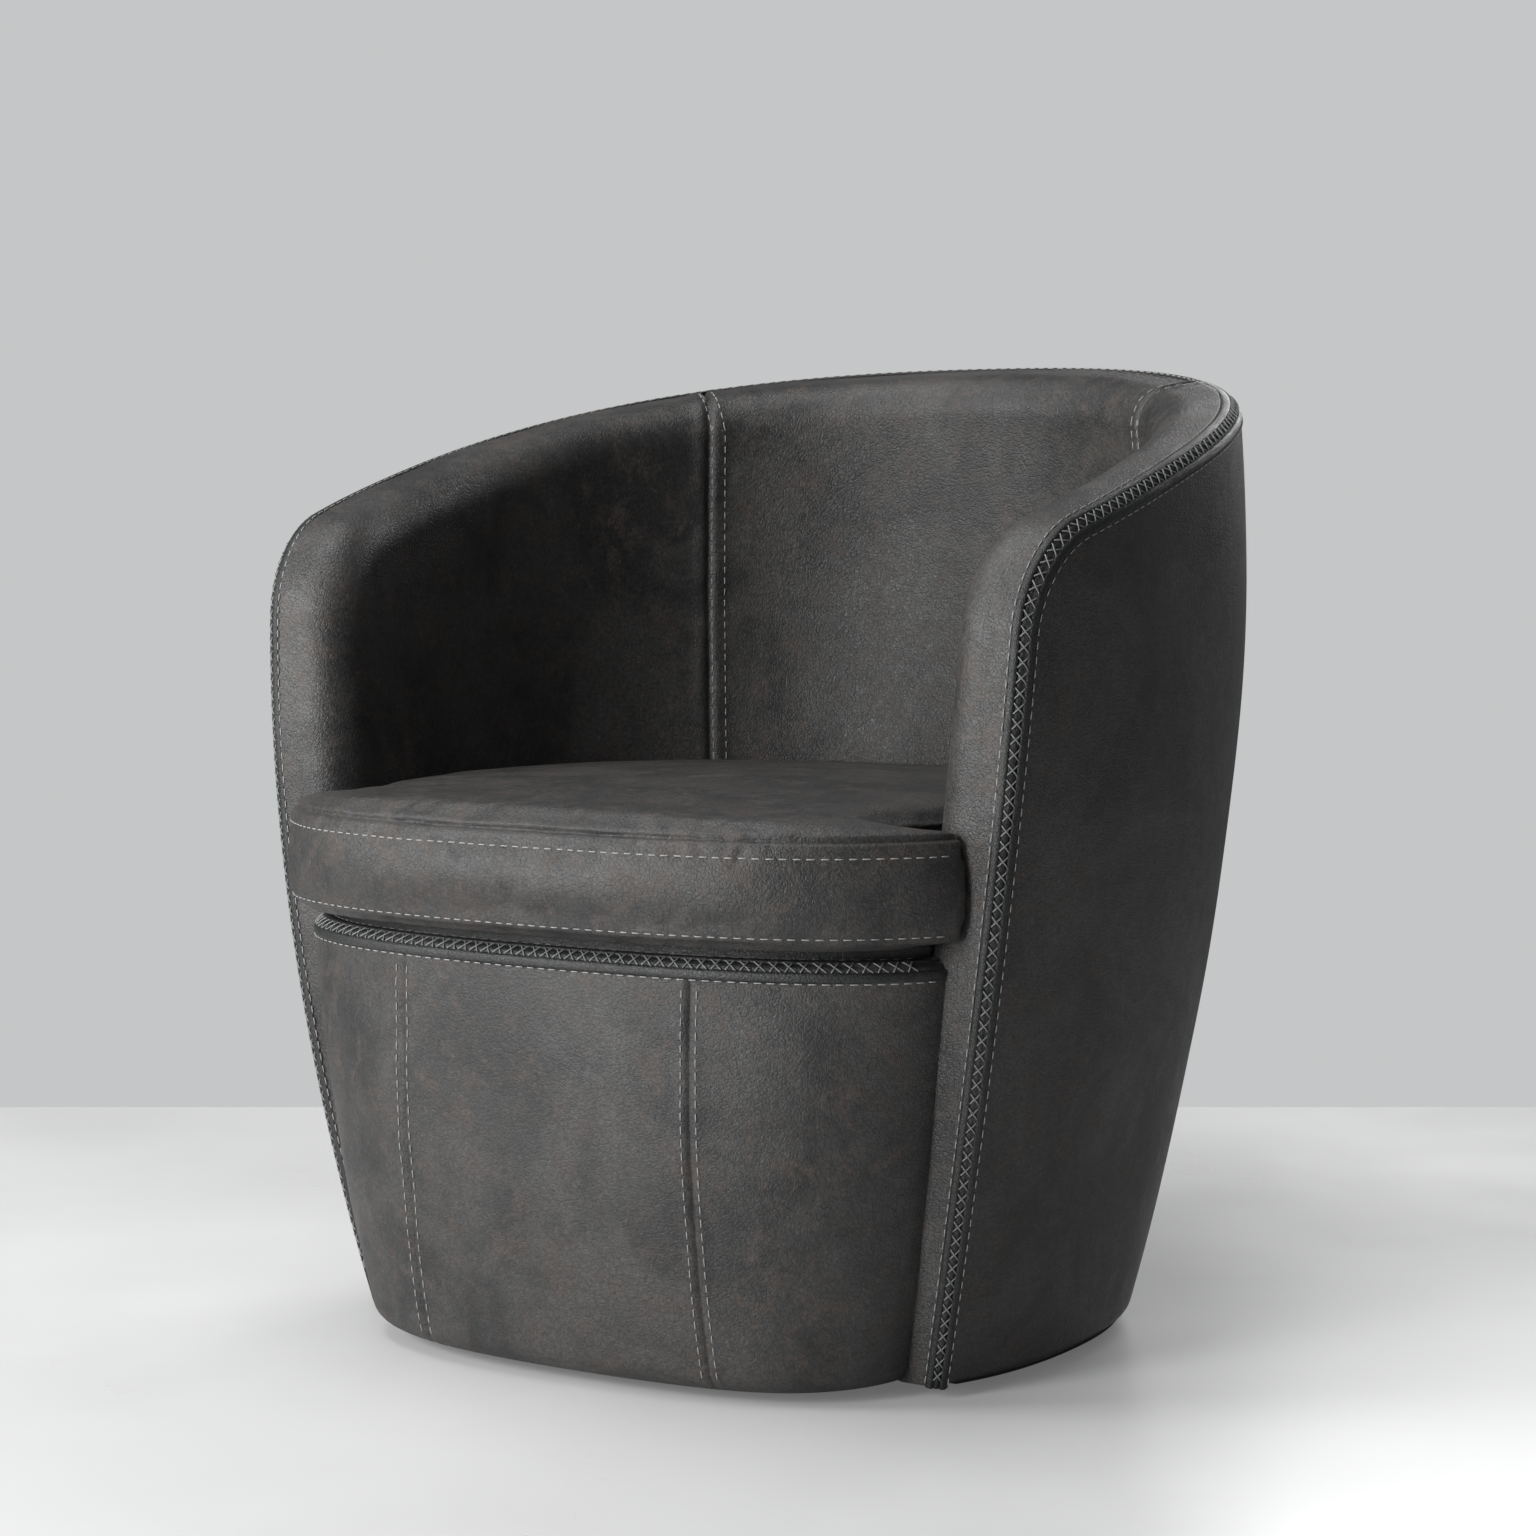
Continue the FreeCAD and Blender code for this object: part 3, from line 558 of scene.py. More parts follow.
def leather(name, dark, mid, brown, shift=0.0, roughness=0.5):
    """Distressed leather: pebbled grain, fine creases, mottled colour and worn high spots."""
    material = bpy.data.materials.new(name)
    material.use_nodes = True
    nodes, links = nodes_of(material)
    shader = nodes["Principled BSDF"]
    shader.inputs["Specular IOR Level"].default_value = 0.5
    coordinates = nodes.new("ShaderNodeTexCoord").outputs["Object"]
    mapping = nodes.new("ShaderNodeMapping")
    mapping.inputs["Location"].default_value = (shift, shift * 0.7, shift * 1.3)
    links.new(coordinates, mapping.inputs["Vector"])
    place = mapping.outputs["Vector"]

    warp = noise(nodes, links, place, 45.0, 3.0)
    offset = add_node(nodes, "ShaderNodeVectorMath", operation="SCALE")
    offset.inputs["Scale"].default_value = 0.006
    links.new(warp.outputs["Color"], offset.inputs[0])
    bent = add_node(nodes, "ShaderNodeVectorMath", operation="ADD")
    links.new(place, bent.inputs[0])
    links.new(offset.outputs[0], bent.inputs[1])

    def cells(scale):
        node = add_node(nodes, "ShaderNodeTexVoronoi", feature="DISTANCE_TO_EDGE")
        node.inputs["Scale"].default_value = scale
        links.new(bent.outputs[0], node.inputs["Vector"])
        soft = ramp(nodes, ((0.0, (0.0,) * 3), (0.16, (0.85,) * 3), (0.5, (1.0,) * 3)))
        links.new(node.outputs["Distance"], soft.inputs["Fac"])
        return soft.outputs["Color"]

    def blend(kind, factor, a, b):
        node = add_node(nodes, "ShaderNodeMix", data_type="RGBA", blend_type=kind)
        if isinstance(factor, float):
            node.inputs[0].default_value = factor
        else:
            links.new(factor, node.inputs[0])
        for socket, value in ((node.inputs[6], a), (node.inputs[7], b)):
            if isinstance(value, tuple):
                socket.default_value = (*value, 1.0)
            else:
                links.new(value, socket)
        return node.outputs[2]

    small, large = cells(360.0), cells(190.0)
    cloud = noise(nodes, links, place, 9.0, 8.0, 0.66, 0.6).outputs["Fac"]
    blotch = noise(nodes, links, place, 34.0, 8.0, 0.7, 1.0).outputs["Fac"]
    fibre = noise(nodes, links, place, 230.0, 5.0, 0.75, 1.5).outputs["Fac"]
    tone = ramp(nodes, ((0.40, dark), (0.60, mid)))
    links.new(cloud, tone.inputs["Fac"])
    warm = ramp(nodes, ((0.50, (0.0,) * 3), (0.64, (0.85,) * 3)))
    links.new(blotch, warm.inputs["Fac"])
    colour = blend("MIX", warm.outputs["Color"], tone.outputs["Color"], brown)
    worn = ramp(nodes, ((0.36, (0.62,) * 3), (0.66, (1.5,) * 3)))
    links.new(fibre, worn.inputs["Fac"])
    colour = blend("MULTIPLY", 1.0, colour, worn.outputs["Color"])
    crease = ramp(nodes, ((0.0, (0.6,) * 3), (1.0, (1.0,) * 3)))
    links.new(large, crease.inputs["Fac"])
    colour = blend("MULTIPLY", 0.7, colour, crease.outputs["Color"])
    links.new(colour, shader.inputs["Base Color"])

    gloss = ramp(nodes, ((0.3, (roughness - 0.08,) * 3), (0.7, (roughness + 0.1,) * 3)))
    links.new(blotch, gloss.inputs["Fac"])
    links.new(gloss.outputs["Color"], shader.inputs["Roughness"])

    height = blend("MIX", 0.45, small, large)
    height = blend("MIX", 0.3, height, fibre)
    relief = nodes.new("ShaderNodeBump")
    relief.inputs["Strength"].default_value = 0.6
    relief.inputs["Distance"].default_value = 0.0008
    links.new(height, relief.inputs["Height"])
    links.new(relief.outputs["Normal"], shader.inputs["Normal"])
    return material


CHARCOAL = (0.026, 0.0255, 0.025)
GRAPHITE = (0.058, 0.0555, 0.0535)
UMBER = (0.066, 0.054, 0.047)
CUSHION_DARK = (0.03, 0.0295, 0.029)
CUSHION_MID = (0.055, 0.052, 0.050)
BINDING_DARK = (0.012, 0.013, 0.0135)
BINDING_MID = (0.026, 0.027, 0.0275)
BINDING_BROWN = (0.03, 0.027, 0.025)
cover_leather = leather("cover_leather", CHARCOAL, GRAPHITE, UMBER)
inside_leather = leather("inside_leather", CHARCOAL, GRAPHITE, UMBER, 3.1, 0.44)
cushion_leather = leather("cushion_leather", CUSHION_DARK, CUSHION_MID, UMBER, 5.7, 0.48)
binding_leather = leather("binding_leather", BINDING_DARK, BINDING_MID, BINDING_BROWN, 7.3, 0.46)
thread = plain_material("thread", (0.34, 0.34, 0.33), 0.6, 0.0, 900.0, 0.0001)
lace = plain_material("lace_thread", (0.22, 0.225, 0.225), 0.5, 0.0, 900.0, 0.0001)
deck_cloth = plain_material("deck_cloth", (0.02, 0.02, 0.021), 0.9, 0.0, 1400.0, 0.0004)
FINISHES = (("felt", (0.03, 0.03, 0.03), 0.95, 0.0, 700.0, 0.0005),
            ("plate_steel", (0.03, 0.03, 0.032), 0.4, 0.6, 90.0),
            ("zinc_steel", (0.5, 0.5, 0.48), 0.35, 1.0, 120.0),
            ("nylon", (0.72, 0.70, 0.64), 0.45, 0.0, 80.0),
            ("base_wood", (0.018, 0.015, 0.013), 0.5, 0.0, 40.0),
            ("dust_cover_cloth", (0.015, 0.015, 0.015), 0.95, 0.0, 1200.0, 0.0004),
            ("zip", (0.02, 0.02, 0.02), 0.5, 0.0, 500.0, 0.0004),
            ("webbing", (0.06, 0.055, 0.05), 0.8, 0.0, 600.0, 0.0005),
            ("frame_wood", (0.50, 0.37, 0.22), 0.6, 0.0, 30.0, 0.0004))
NODE_FINISHES = {finish[0]: plain_material(*finish) for finish in FINISHES}


# Barrel upholstery

def grid_of(lines):
    """Stacks lines of points and normals into one grid."""
    return np.stack([p for p, _ in lines], 1), np.stack([n for _, n in lines], 1)


def rear_seam_distance(p, angle):
    """Distance from the seams at an angle from the back; the same plane in front counts as far away."""
    return np.where(p[:, 1] > SEAMS_BEHIND_Y, plane_distance(p, angle), FAR_AWAY)


def inside_relief(p):
    """Seam, its gathers and the unevenness of the padding."""
    d = rear_seam_distance(p, INSIDE_SEAM_ANGLE)
    gathers = gather(p, d, GATHER_REACH, 11) * GATHER_HEIGHT
    return groove(d, *INSIDE_GROOVE) + gathers + 0.8 * waves(p, 170.0, 5)


ROLL_STEPS = np.concatenate([np.linspace(0.5, 1, 6), np.linspace(1, 2, 6)[1:], np.linspace(2, 3, 12)[1:]])


def half_inside_side():
    side_u = spaced(U_START, U_CORNER, ARM_STEP)
    span = [length_at(U_CORNER), length_at(U_INSIDE_SEAM)]
    top_u = u_at_length(np.interp(closer_at_end(INSIDE_SIDE_COLUMNS), [0, 1], span))
    left = Roll(side_u).at(3.0)[0]
    top = Roll(top_u).at(3.0)[0]
    low = left[0, 2]
    angle = math.atan2(top[-1, 0], top[-1, 1])
    z = np.linspace(low, top[-1, 2], len(side_u))
    right = ending_at(seam_line(angle, z, WALL), top[-1])
    a0, a1 = barrel_angle(left[0], WALL), barrel_angle(right[0], WALL)
    angles = a0 + (a1 - a0) * closer_at_end(INSIDE_SIDE_COLUMNS)
    bottom = starting_at(on_barrel(angles, np.full(len(angles), low), WALL), left[0])
    sheet = Sheet()
    p, n = skin(left, right, bottom, top, WALL)
    sheet.grid(p, -n)
    whole = np.concatenate([side_u, top_u[1:]])
    roll = Roll(whole)
    sheet.grid(*grid_of([roll.at(v) for v in ROLL_STEPS]))
    return sheet, angle, low


def half_inside_back(angle, low):
    rows = len(spaced(U_START, U_CORNER, ARM_STEP))
    share = 1 - closer_at_end(INSIDE_BACK_COLUMNS)[::-1]
    lengths = length_at(U_INSIDE_SEAM) + share * (length_at(4.0) - length_at(U_INSIDE_SEAM))
    u = u_at_length(lengths)
    top = Roll(u).at(3.0)[0]
    z = np.linspace(low, top[0, 2], rows)
    left = ending_at(seam_line(angle, z, WALL), top[0])
    z = np.linspace(low, top[-1, 2], rows)
    right = ending_at(np.stack([0 * z, half_depth(z, WALL), z], -1), top[-1])
    a0 = barrel_angle(left[0], WALL)
    angles = a0 * (1 - share)
    bottom = on_barrel(angles, np.full(len(angles), low), WALL)
    sheet = Sheet()
    p, n = skin(left, right, bottom, top, WALL)
    sheet.grid(p, -n)
    sheet.grid(*grid_of([Roll(u).at(v) for v in ROLL_STEPS]))
    return sheet


def hem_rows(bottom, sheet):
    """Rolled hem and underside below an outside panel."""
    angle = barrel_angle(bottom, 0.0)
    lines = []
    for k in np.linspace(0, math.pi / 2, 7):
        inset = HEM_RADIUS * (1 - math.cos(k))
        z = np.full(len(angle), HEM_HEIGHT + HEM_RADIUS * (1 - math.sin(k)))
        p = on_barrel(angle, z, inset)
        lines.append((p, unit(barrel_normal(p, inset) * math.cos(k) - np.array([0, 0, math.sin(k)]))))
    for inset in (HEM_RADIUS + 12, HEM_RADIUS + 24):
        p = on_barrel(angle, z, inset)
        lines.append((p, np.tile([0.0, 0.0, -1.0], (len(angle), 1))))
    sheet.grid(*grid_of(lines))


def half_outside(u_from, u_to, back):
    """Outside panel between two places of the edge; the side panel has the arm front as its left."""
    low = HEM_HEIGHT + HEM_RADIUS
    steps = OUTSIDE_ROWS
    fine = closer_at_end(OUTSIDE_SIDE_COLUMNS)
    if back:
        lengths = np.linspace(length_at(u_from), length_at(u_to), OUTSIDE_BACK_POINTS)
    else:
        lengths = length_at(U_CORNER) + fine * (length_at(u_to) - length_at(U_CORNER))
    u = u_at_length(lengths)
    top = Roll(u).at(0.0)[0]
    if back:
        angle = math.atan2(top[0, 0], top[0, 1])
        z = np.linspace(low, top[0, 2], steps)
        left = ending_at(seam_line(angle, z, 0.0), top[0])
        z = np.linspace(low, top[-1, 2], steps)
        right = np.stack([0 * z, half_depth(z, 0.0), z], -1)
        roll_u = u
    else:
        start = float(np.interp(low, FINE_LINE[:FINE_PER_U, 2], FINE_U[:FINE_PER_U]))
        side_u = spaced(start, U_CORNER, OUTSIDE_ARM_STEP)
        steps = len(side_u)
        left = Roll(side_u).at(0.0)[0]
        left[:, 2] += np.linspace(low - left[0, 2], 0, steps)
        angle = math.atan2(top[-1, 0], top[-1, 1])
        z = np.linspace(low, top[-1, 2], steps)
        right = seam_line(angle, z, 0.0)
        roll_u = np.concatenate([side_u, u[1:]])
    right = ending_at(right, top[-1])
    a0, a1 = barrel_angle(left[0], 0.0), barrel_angle(right[0], 0.0)
    share = np.linspace(0, 1, len(u)) if back else fine
    bottom = on_barrel(a0 + (a1 - a0) * share, np.full(len(u), low), 0.0)
    bottom = starting_at(bottom, left[0])
    sheet = Sheet()
    sheet.grid(*skin(left, right, bottom, top, 0.0))
    sheet.grid(*grid_of([Roll(roll_u).at(v) for v in np.linspace(0, 0.5, 6)]))
    hem_rows(bottom, sheet)
    if not back:
        foot_u = np.linspace(U_START, start, 4)
        sheet.grid(*grid_of([Roll(foot_u).at(v) for v in np.linspace(0, 0.5, 6)]))
    return sheet


def outside_relief(p):
    """Seam and a slight unevenness of the tight leather."""
    return groove(rear_seam_distance(p, BACK_SEAM_ANGLE), *OUTSIDE_GROOVE) + 0.7 * waves(p, 190.0, 23)


inside_side, INSIDE_ANGLE, INSIDE_LOW = half_inside_side()
inside_back = half_inside_back(INSIDE_ANGLE, INSIDE_LOW)
soft = {}
for name, sheet in (("right", inside_side), ("left", inside_side.mirrored())):
    sheet.moved(inside_relief)
    soft["inside_" + name] = sheet.build("inside_pad_leather_" + name, inside_leather, SEAT_BODY)
    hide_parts("inside_pad_side_" + name)
whole_back = inside_back.plus(inside_back.mirrored()).moved(inside_relief)
soft["inside_back"] = whole_back.build("inside_pad_leather_back", inside_leather, SEAT_BODY)
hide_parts("inside_pad_back")
outside_side = half_outside(U_START, U_BACK_SEAM, False)
outside_back = half_outside(U_BACK_SEAM, 4.0, True)
for name, sheet in (("right", outside_side), ("left", outside_side.mirrored())):
    sheet.moved(outside_relief)
    soft["outside_" + name] = sheet.build("outside_leather_" + name, cover_leather, SEAT_BODY)
    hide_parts("outside_cover_side_" + name)
whole_back = outside_back.plus(outside_back.mirrored()).moved(outside_relief)
soft["outside_back"] = whole_back.build("outside_leather_back", cover_leather, SEAT_BODY)
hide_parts("outside_cover_back")


# Front panel

def drum_half(z, inset):
    return half_width(z, DRUM_SIDE_INSET + inset)


def drum_reach(z, inset):
    return DRUM_REACH - DRUM_REACH_TAPER * (1 - z / DRUM_BELLY_HEIGHT) ** 2 - inset


def drum_at_x(x, z, inset):
    """Point of the panel's surface at a place across the chair."""
    ratio = np.clip(1 - (np.abs(x) / drum_half(z, inset)) ** DRUM_SQUARENESS, 0, 1)
    y = DRUM_CENTRE_Y - drum_reach(z, inset) * ratio ** (1 / DRUM_SQUARENESS)
    return np.stack([x, y, z + 0 * x], -1)


def drum_at_angle(angle, z, inset):
    s, c = np.sin(angle), np.cos(angle)
    x = drum_half(z, inset) * np.sign(s) * np.abs(s) ** (2 / DRUM_SQUARENESS)
    y = DRUM_CENTRE_Y - drum_reach(z, inset) * np.abs(c) ** (2 / DRUM_SQUARENESS)
    return np.stack([x, y, z + 0 * x], -1)


def drum_end_angle(z, inset):
    """Where the panel meets the arm front."""
    gap = DRUM_CENTRE_Y - front_y(z) - DRUM_END_OVERLAP
    return math.acos((gap / drum_reach(z, inset)) ** (DRUM_SQUARENESS / 2))


def drum_normal(p, inset):
    """Outward normal of the panel's surface."""
    n = DRUM_SQUARENESS
    z = p[..., 2]
    q = np.abs(p[..., 1] - DRUM_CENTRE_Y)

    def level(h):
        return (np.abs(p[..., 0]) / drum_half(h, inset)) ** n + (q / drum_reach(h, inset)) ** n

    gx = n * np.sign(p[..., 0]) * np.abs(p[..., 0]) ** (n - 1) / drum_half(z, inset) ** n
    gy = -n * q ** (n - 1) / drum_reach(z, inset) ** n
    gz = (level(z + 1) - level(z - 1)) / 2
    return unit(np.stack([gx, gy, gz], -1))


def panel_rows():
    """Inset, height and tilt of each row of the panel, from the deck over the top roll to the hem."""
    rows = [(DRUM_TOP_RADIUS + 1, DRUM_TOP, math.pi / 2)]
    for k in np.linspace(math.pi / 2, 0, 9):
        inset = DRUM_TOP_RADIUS * (1 - math.cos(k))
        rows.append((inset, DRUM_TOP - DRUM_TOP_RADIUS * (1 - math.sin(k)), k))
    top = DRUM_TOP - DRUM_TOP_RADIUS
    hem = HEM_HEIGHT + DRUM_HEM_RADIUS
    for z in np.linspace(top, hem, 62)[1:-1]:
        rows.append((0.0, z, 0.0))
    for k in np.linspace(0, math.pi / 2, 8):
        inset = DRUM_HEM_RADIUS * (1 - math.cos(k))
        rows.append((inset, hem - DRUM_HEM_RADIUS * math.sin(k), -k))
    rows.append((DRUM_HEM_RADIUS + 6, HEM_HEIGHT, -math.pi / 2))
    return rows


def panel_seam_angle(z, inset):
    return math.asin((DRUM_SEAM_X / drum_half(z, inset)) ** (DRUM_SQUARENESS / 2))


def panel_sheet(centre):
    """Middle third of the front panel, or its right-hand third."""
    lines = []
    fine = closer_at_end(40)
    for inset, z, tilt in panel_rows():
        if centre:
            share = np.concatenate([-fine[::-1], fine[1:]])
            x = DRUM_SEAM_X * share
            p = drum_at_x(x, z, inset)
        else:
            share = 1 - closer_at_end(60)[::-1]
            a0, a1 = panel_seam_angle(z, inset), drum_end_angle(z, inset)
            p = drum_at_angle(a0 + (a1 - a0) * share, z, inset)
        n = drum_normal(p, inset)
        n = unit(n * math.cos(tilt) + np.array([0, 0, math.sin(tilt)]))
        lines.append((p, n))
    return Sheet().grid(*grid_of(lines))


def panel_relief(p):
    """Seams and puckers, which stop below the binding and above the hem."""
    d = np.abs(np.abs(p[:, 0]) - DRUM_SEAM_X)
    below = np.clip((DRUM_TOP - 4 - p[:, 2]) / 14, 0, 1) * np.clip((p[:, 2] - HEM_HEIGHT) / 10, 0, 1)
    puckers = 0.35 * gather(p, d - 6, 16.0, 31)
    return below * (0.7 * groove(d, *PANEL_GROOVE) + puckers) + 0.8 * waves(p, 160.0, 37)


centre = panel_sheet(True).moved(panel_relief)
side = panel_sheet(False)
soft["panel_centre"] = centre.build("front_leather_centre", cover_leather, SEAT_BODY)
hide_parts("front_cover_centre")
for name, sheet in (("right", side), ("left", side.mirrored())):
    sheet.moved(panel_relief)
    soft["panel_" + name] = sheet.build("front_leather_" + name, cover_leather, SEAT_BODY)
    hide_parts("front_cover_side_" + name)


def panel_beside(share, w):
    """Line along the panel's top at a distance from its lacing, positive towards the deck."""
    half = DRUM_TOP_RADIUS * math.pi / 4
    if w < -half:
        inset, z, tilt = 0.0, DRUM_TOP - DRUM_TOP_RADIUS + (w + half), 0.0
    elif w > half:
        inset, z, tilt = DRUM_TOP_RADIUS + (w - half), DRUM_TOP, math.pi / 2
    else:
        tilt = math.pi / 4 * (1 + w / half)
        inset = DRUM_TOP_RADIUS * (1 - math.cos(tilt))
        z = DRUM_TOP - DRUM_TOP_RADIUS * (1 - math.sin(tilt))
    p = drum_at_angle(share * drum_end_angle(z, inset), z, inset)
    n = unit(drum_normal(p, inset) * math.cos(tilt) + np.array([0, 0, math.sin(tilt)]))
    return p, n


# Bindings, lacing and stitches

STRIP_SECTION = ((STRIP_INNER, -0.8), (STRIP_INNER, 1.0), (4.6, 1.8), (6.4, STRIP_HEIGHT), (9.6, 1.6),
                 (11.6, 0.8), (STRIP_OUTER, -0.2), (STRIP_OUTER, -0.8))
CHANNEL_SECTION = ((-4.3, -0.6), (-3.0, 0.3), (-1.0, 0.8), (1.0, 0.8), (3.0, 0.3), (4.3, -0.6))


def along_edge(line, section, sign):
    """Strip swept along the edge: line(w) gives points and normals at a distance from the lacing."""
    lines = []
    for w, h in section:
        p, n = line(sign * w)
        lines.append((p + n * h, n))
    return lines


def rim_line(step):
    """Line giver for the whole rim, from the right arm's foot round the back to the left arm's foot."""
    u = spaced(U_START, 4.0, step)
    roll = Roll(u)

    def line(w):
        p, n = roll.beside(w)
        flip = np.array([-1.0, 1.0, 1.0])
        return (np.concatenate([p, (p * flip)[-2::-1]]), np.concatenate([n, (n * flip)[-2::-1]]))
    return line


def panel_line(count):
    share = np.linspace(-1, 1, count)

    def line(w):
        return panel_beside(share, w)
    return line


def strip_object(name, line, section, sign, material, node=None):
    sheet = Sheet()
    p, n = grid_of(along_edge(line, section, sign))
    sheet.grid(p, n, closed=section is STRIP_SECTION)
    obj = sheet.build(name, material, SEAT_BODY, STRIP_MERGE)
    if node:
        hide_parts(node)


STRIP_STEP = 5.0
LACE_STEP = 3.0
PANEL_STRIP_POINTS = 150
PANEL_LACE_POINTS = 220
RIM_LINE = rim_line(STRIP_STEP)
PANEL_LINE = panel_line(PANEL_STRIP_POINTS)
strip_object("rim_strip_outer", RIM_LINE, STRIP_SECTION, -1, binding_leather, "rim_binding_outer")
strip_object("rim_strip_inner", RIM_LINE, STRIP_SECTION, 1, binding_leather, "rim_binding_inner")
strip_object("rim_channel", RIM_LINE, CHANNEL_SECTION, 1, binding_leather)
strip_object("panel_strip_lower", PANEL_LINE, STRIP_SECTION, -1, binding_leather, "panel_binding_lower")
strip_object("panel_strip_upper", PANEL_LINE, STRIP_SECTION, 1, binding_leather, "panel_binding_upper")
strip_object("panel_channel", PANEL_LINE, CHANNEL_SECTION, 1, binding_leather)


class Thread:
    """Many short threads gathered in one mesh."""

    SIDES = 6

    def __init__(self):
        self.points, self.faces = [], []
        self.count = 0

    def strand(self, centres, normals, radii):
        """One thread through the centres, its rings turned with the surface normals."""
        centres, normals = np.asarray(centres), np.asarray(normals)
        along = unit(np.gradient(centres, axis=0))
        across = unit(np.cross(along, normals))
        up = np.cross(across, along)
        rings = []
        for k in range(self.SIDES):
            a = 2 * math.pi * k / self.SIDES
            rings.append(centres + (across * math.cos(a) + up * math.sin(a)) * np.asarray(radii)[:, None])
        rings = np.stack(rings, 1)
        self.points.append(rings.reshape(-1, 3))
        n = len(centres)
        for i in range(n - 1):
            for k in range(self.SIDES):
                j = (k + 1) % self.SIDES
                a, b = self.count + i * self.SIDES, self.count + (i + 1) * self.SIDES
                self.faces.append((a + k, a + j, b + j, b + k))
        self.faces.append(tuple(self.count + k for k in reversed(range(self.SIDES))))
        self.faces.append(tuple(self.count + (n - 1) * self.SIDES + k for k in range(self.SIDES)))
        self.count += n * self.SIDES

    def build(self, name, material, body):
        mesh = bpy.data.meshes.new(name)
        mesh.from_pydata((np.concatenate(self.points) * MM).tolist(), [], self.faces)
        mesh.shade_smooth()
        obj = placed(name, mesh)
        mesh.materials.append(material)
        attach(obj, body)
        return obj


def walk(points, normals):
    """Function giving the place and normal at a length along a line, and the line's length."""
    length = np.concatenate([[0], np.cumsum(np.linalg.norm(np.diff(points, axis=0), axis=1))])

    def at(values):
        p = np.stack([np.interp(values, length, points[:, k]) for k in range(3)], -1)
        n = np.stack([np.interp(values, length, normals[:, k]) for k in range(3)], -1)
        return p, unit(n)
    return at, length[-1]


def topstitch(threads, points, normals, lift):
    """Row of stitches along a line on the leather."""
    at, total = walk(points, normals)
    count = int((total - 2 * STITCH_START) / STITCH_PITCH)
    shape = np.array([0.0, 0.12, 0.88, 1.0])
    heights = np.array([-0.35, 0.35, 0.35, -0.35]) * STITCH_RADIUS + lift
    radii = np.array([0.6, 1.0, 1.0, 0.6]) * STITCH_RADIUS
    for i in range(count):
        jitter = rng.uniform(-STITCH_JITTER, STITCH_JITTER)
        p, n = at(STITCH_START + i * STITCH_PITCH + jitter + shape * STITCH_LENGTH)
        threads.strand(p + n * heights[:, None], n, radii)


def lacing(threads, line):
    """Crossed lacing over the channel between the two strips."""
    mid, _ = line(0.0)
    low, low_n = line(-LACE_HALF_WIDTH)
    high, high_n = line(LACE_HALF_WIDTH)
    total = np.concatenate([[0], np.cumsum(np.linalg.norm(np.diff(mid, axis=0), axis=1))])
    count = int((total[-1] - 2 * LACE_PITCH) / LACE_PITCH)

    def place(length, share):
        def pick(a):
            return np.array([np.interp(length, total, a[:, k]) for k in range(3)])
        p = pick(low) * (1 - share) + pick(high) * share
        n = unit(pick(low_n) * (1 - share) + pick(high_n) * share)
        return p, n

    for i in range(count):
        centre = LACE_PITCH * (i + 1.0)
        for sign in (1, -1):
            spots, ups = [], []
            for share in (0.0, 0.1, 0.5, 0.9, 1.0):
                p, n = place(centre + sign * LACE_LEAN * (2 * share - 1), share)
                lift = 0.4 if share in (0.0, 1.0) else 1.9 + (0.35 if sign > 0 else -0.1)
                spots.append(p + n * lift)
                ups.append(n)
            threads.strand(spots, ups, np.full(5, LACE_RADIUS))


laces = Thread()
lacing(laces, rim_line(LACE_STEP))
laces.build("rim_lacing", lace, SEAT_BODY)
laces = Thread()
lacing(laces, panel_line(PANEL_LACE_POINTS))
laces.build("panel_lacing", lace, SEAT_BODY)


def vertex_values(mesh, kind):
    values = np.empty(len(mesh.vertices) * 3, np.float32)
    mesh.vertices.foreach_get(kind, values)
    return values.reshape(-1, 3)


def surface_of(*objects):
    """Search tree over finished leather pieces."""
    points, faces, count = [], [], 0
    for obj in objects:
        mesh = obj.data
        points.extend(map(tuple, vertex_values(mesh, "co")))
        faces.extend(tuple(v + count for v in face.vertices) for face in mesh.polygons)
        count += len(mesh.vertices)
    return BVHTree.FromPolygons(points, faces)


def laid(tree, points, normals, reach=12.0):
    """The points moved onto the leather, along their normals as far as it is near."""
    out = []
    for p, n in zip(points, normals):
        start = Vector((p + n * reach) * MM)
        hit, _, _, _ = tree.ray_cast(start, Vector(-n), 2 * reach * MM)
        out.append(np.array(hit) / MM if hit is not None else p)
    return np.array(out)


seat_thread = Thread()
for sign in (-1, 1):
    p, n = RIM_LINE(sign * TOPSTITCH_LINE)
    topstitch(seat_thread, p, n, EDGE_STITCH_LIFT)
    p, n = PANEL_LINE(sign * TOPSTITCH_LINE)
    topstitch(seat_thread, p, n, EDGE_STITCH_LIFT)

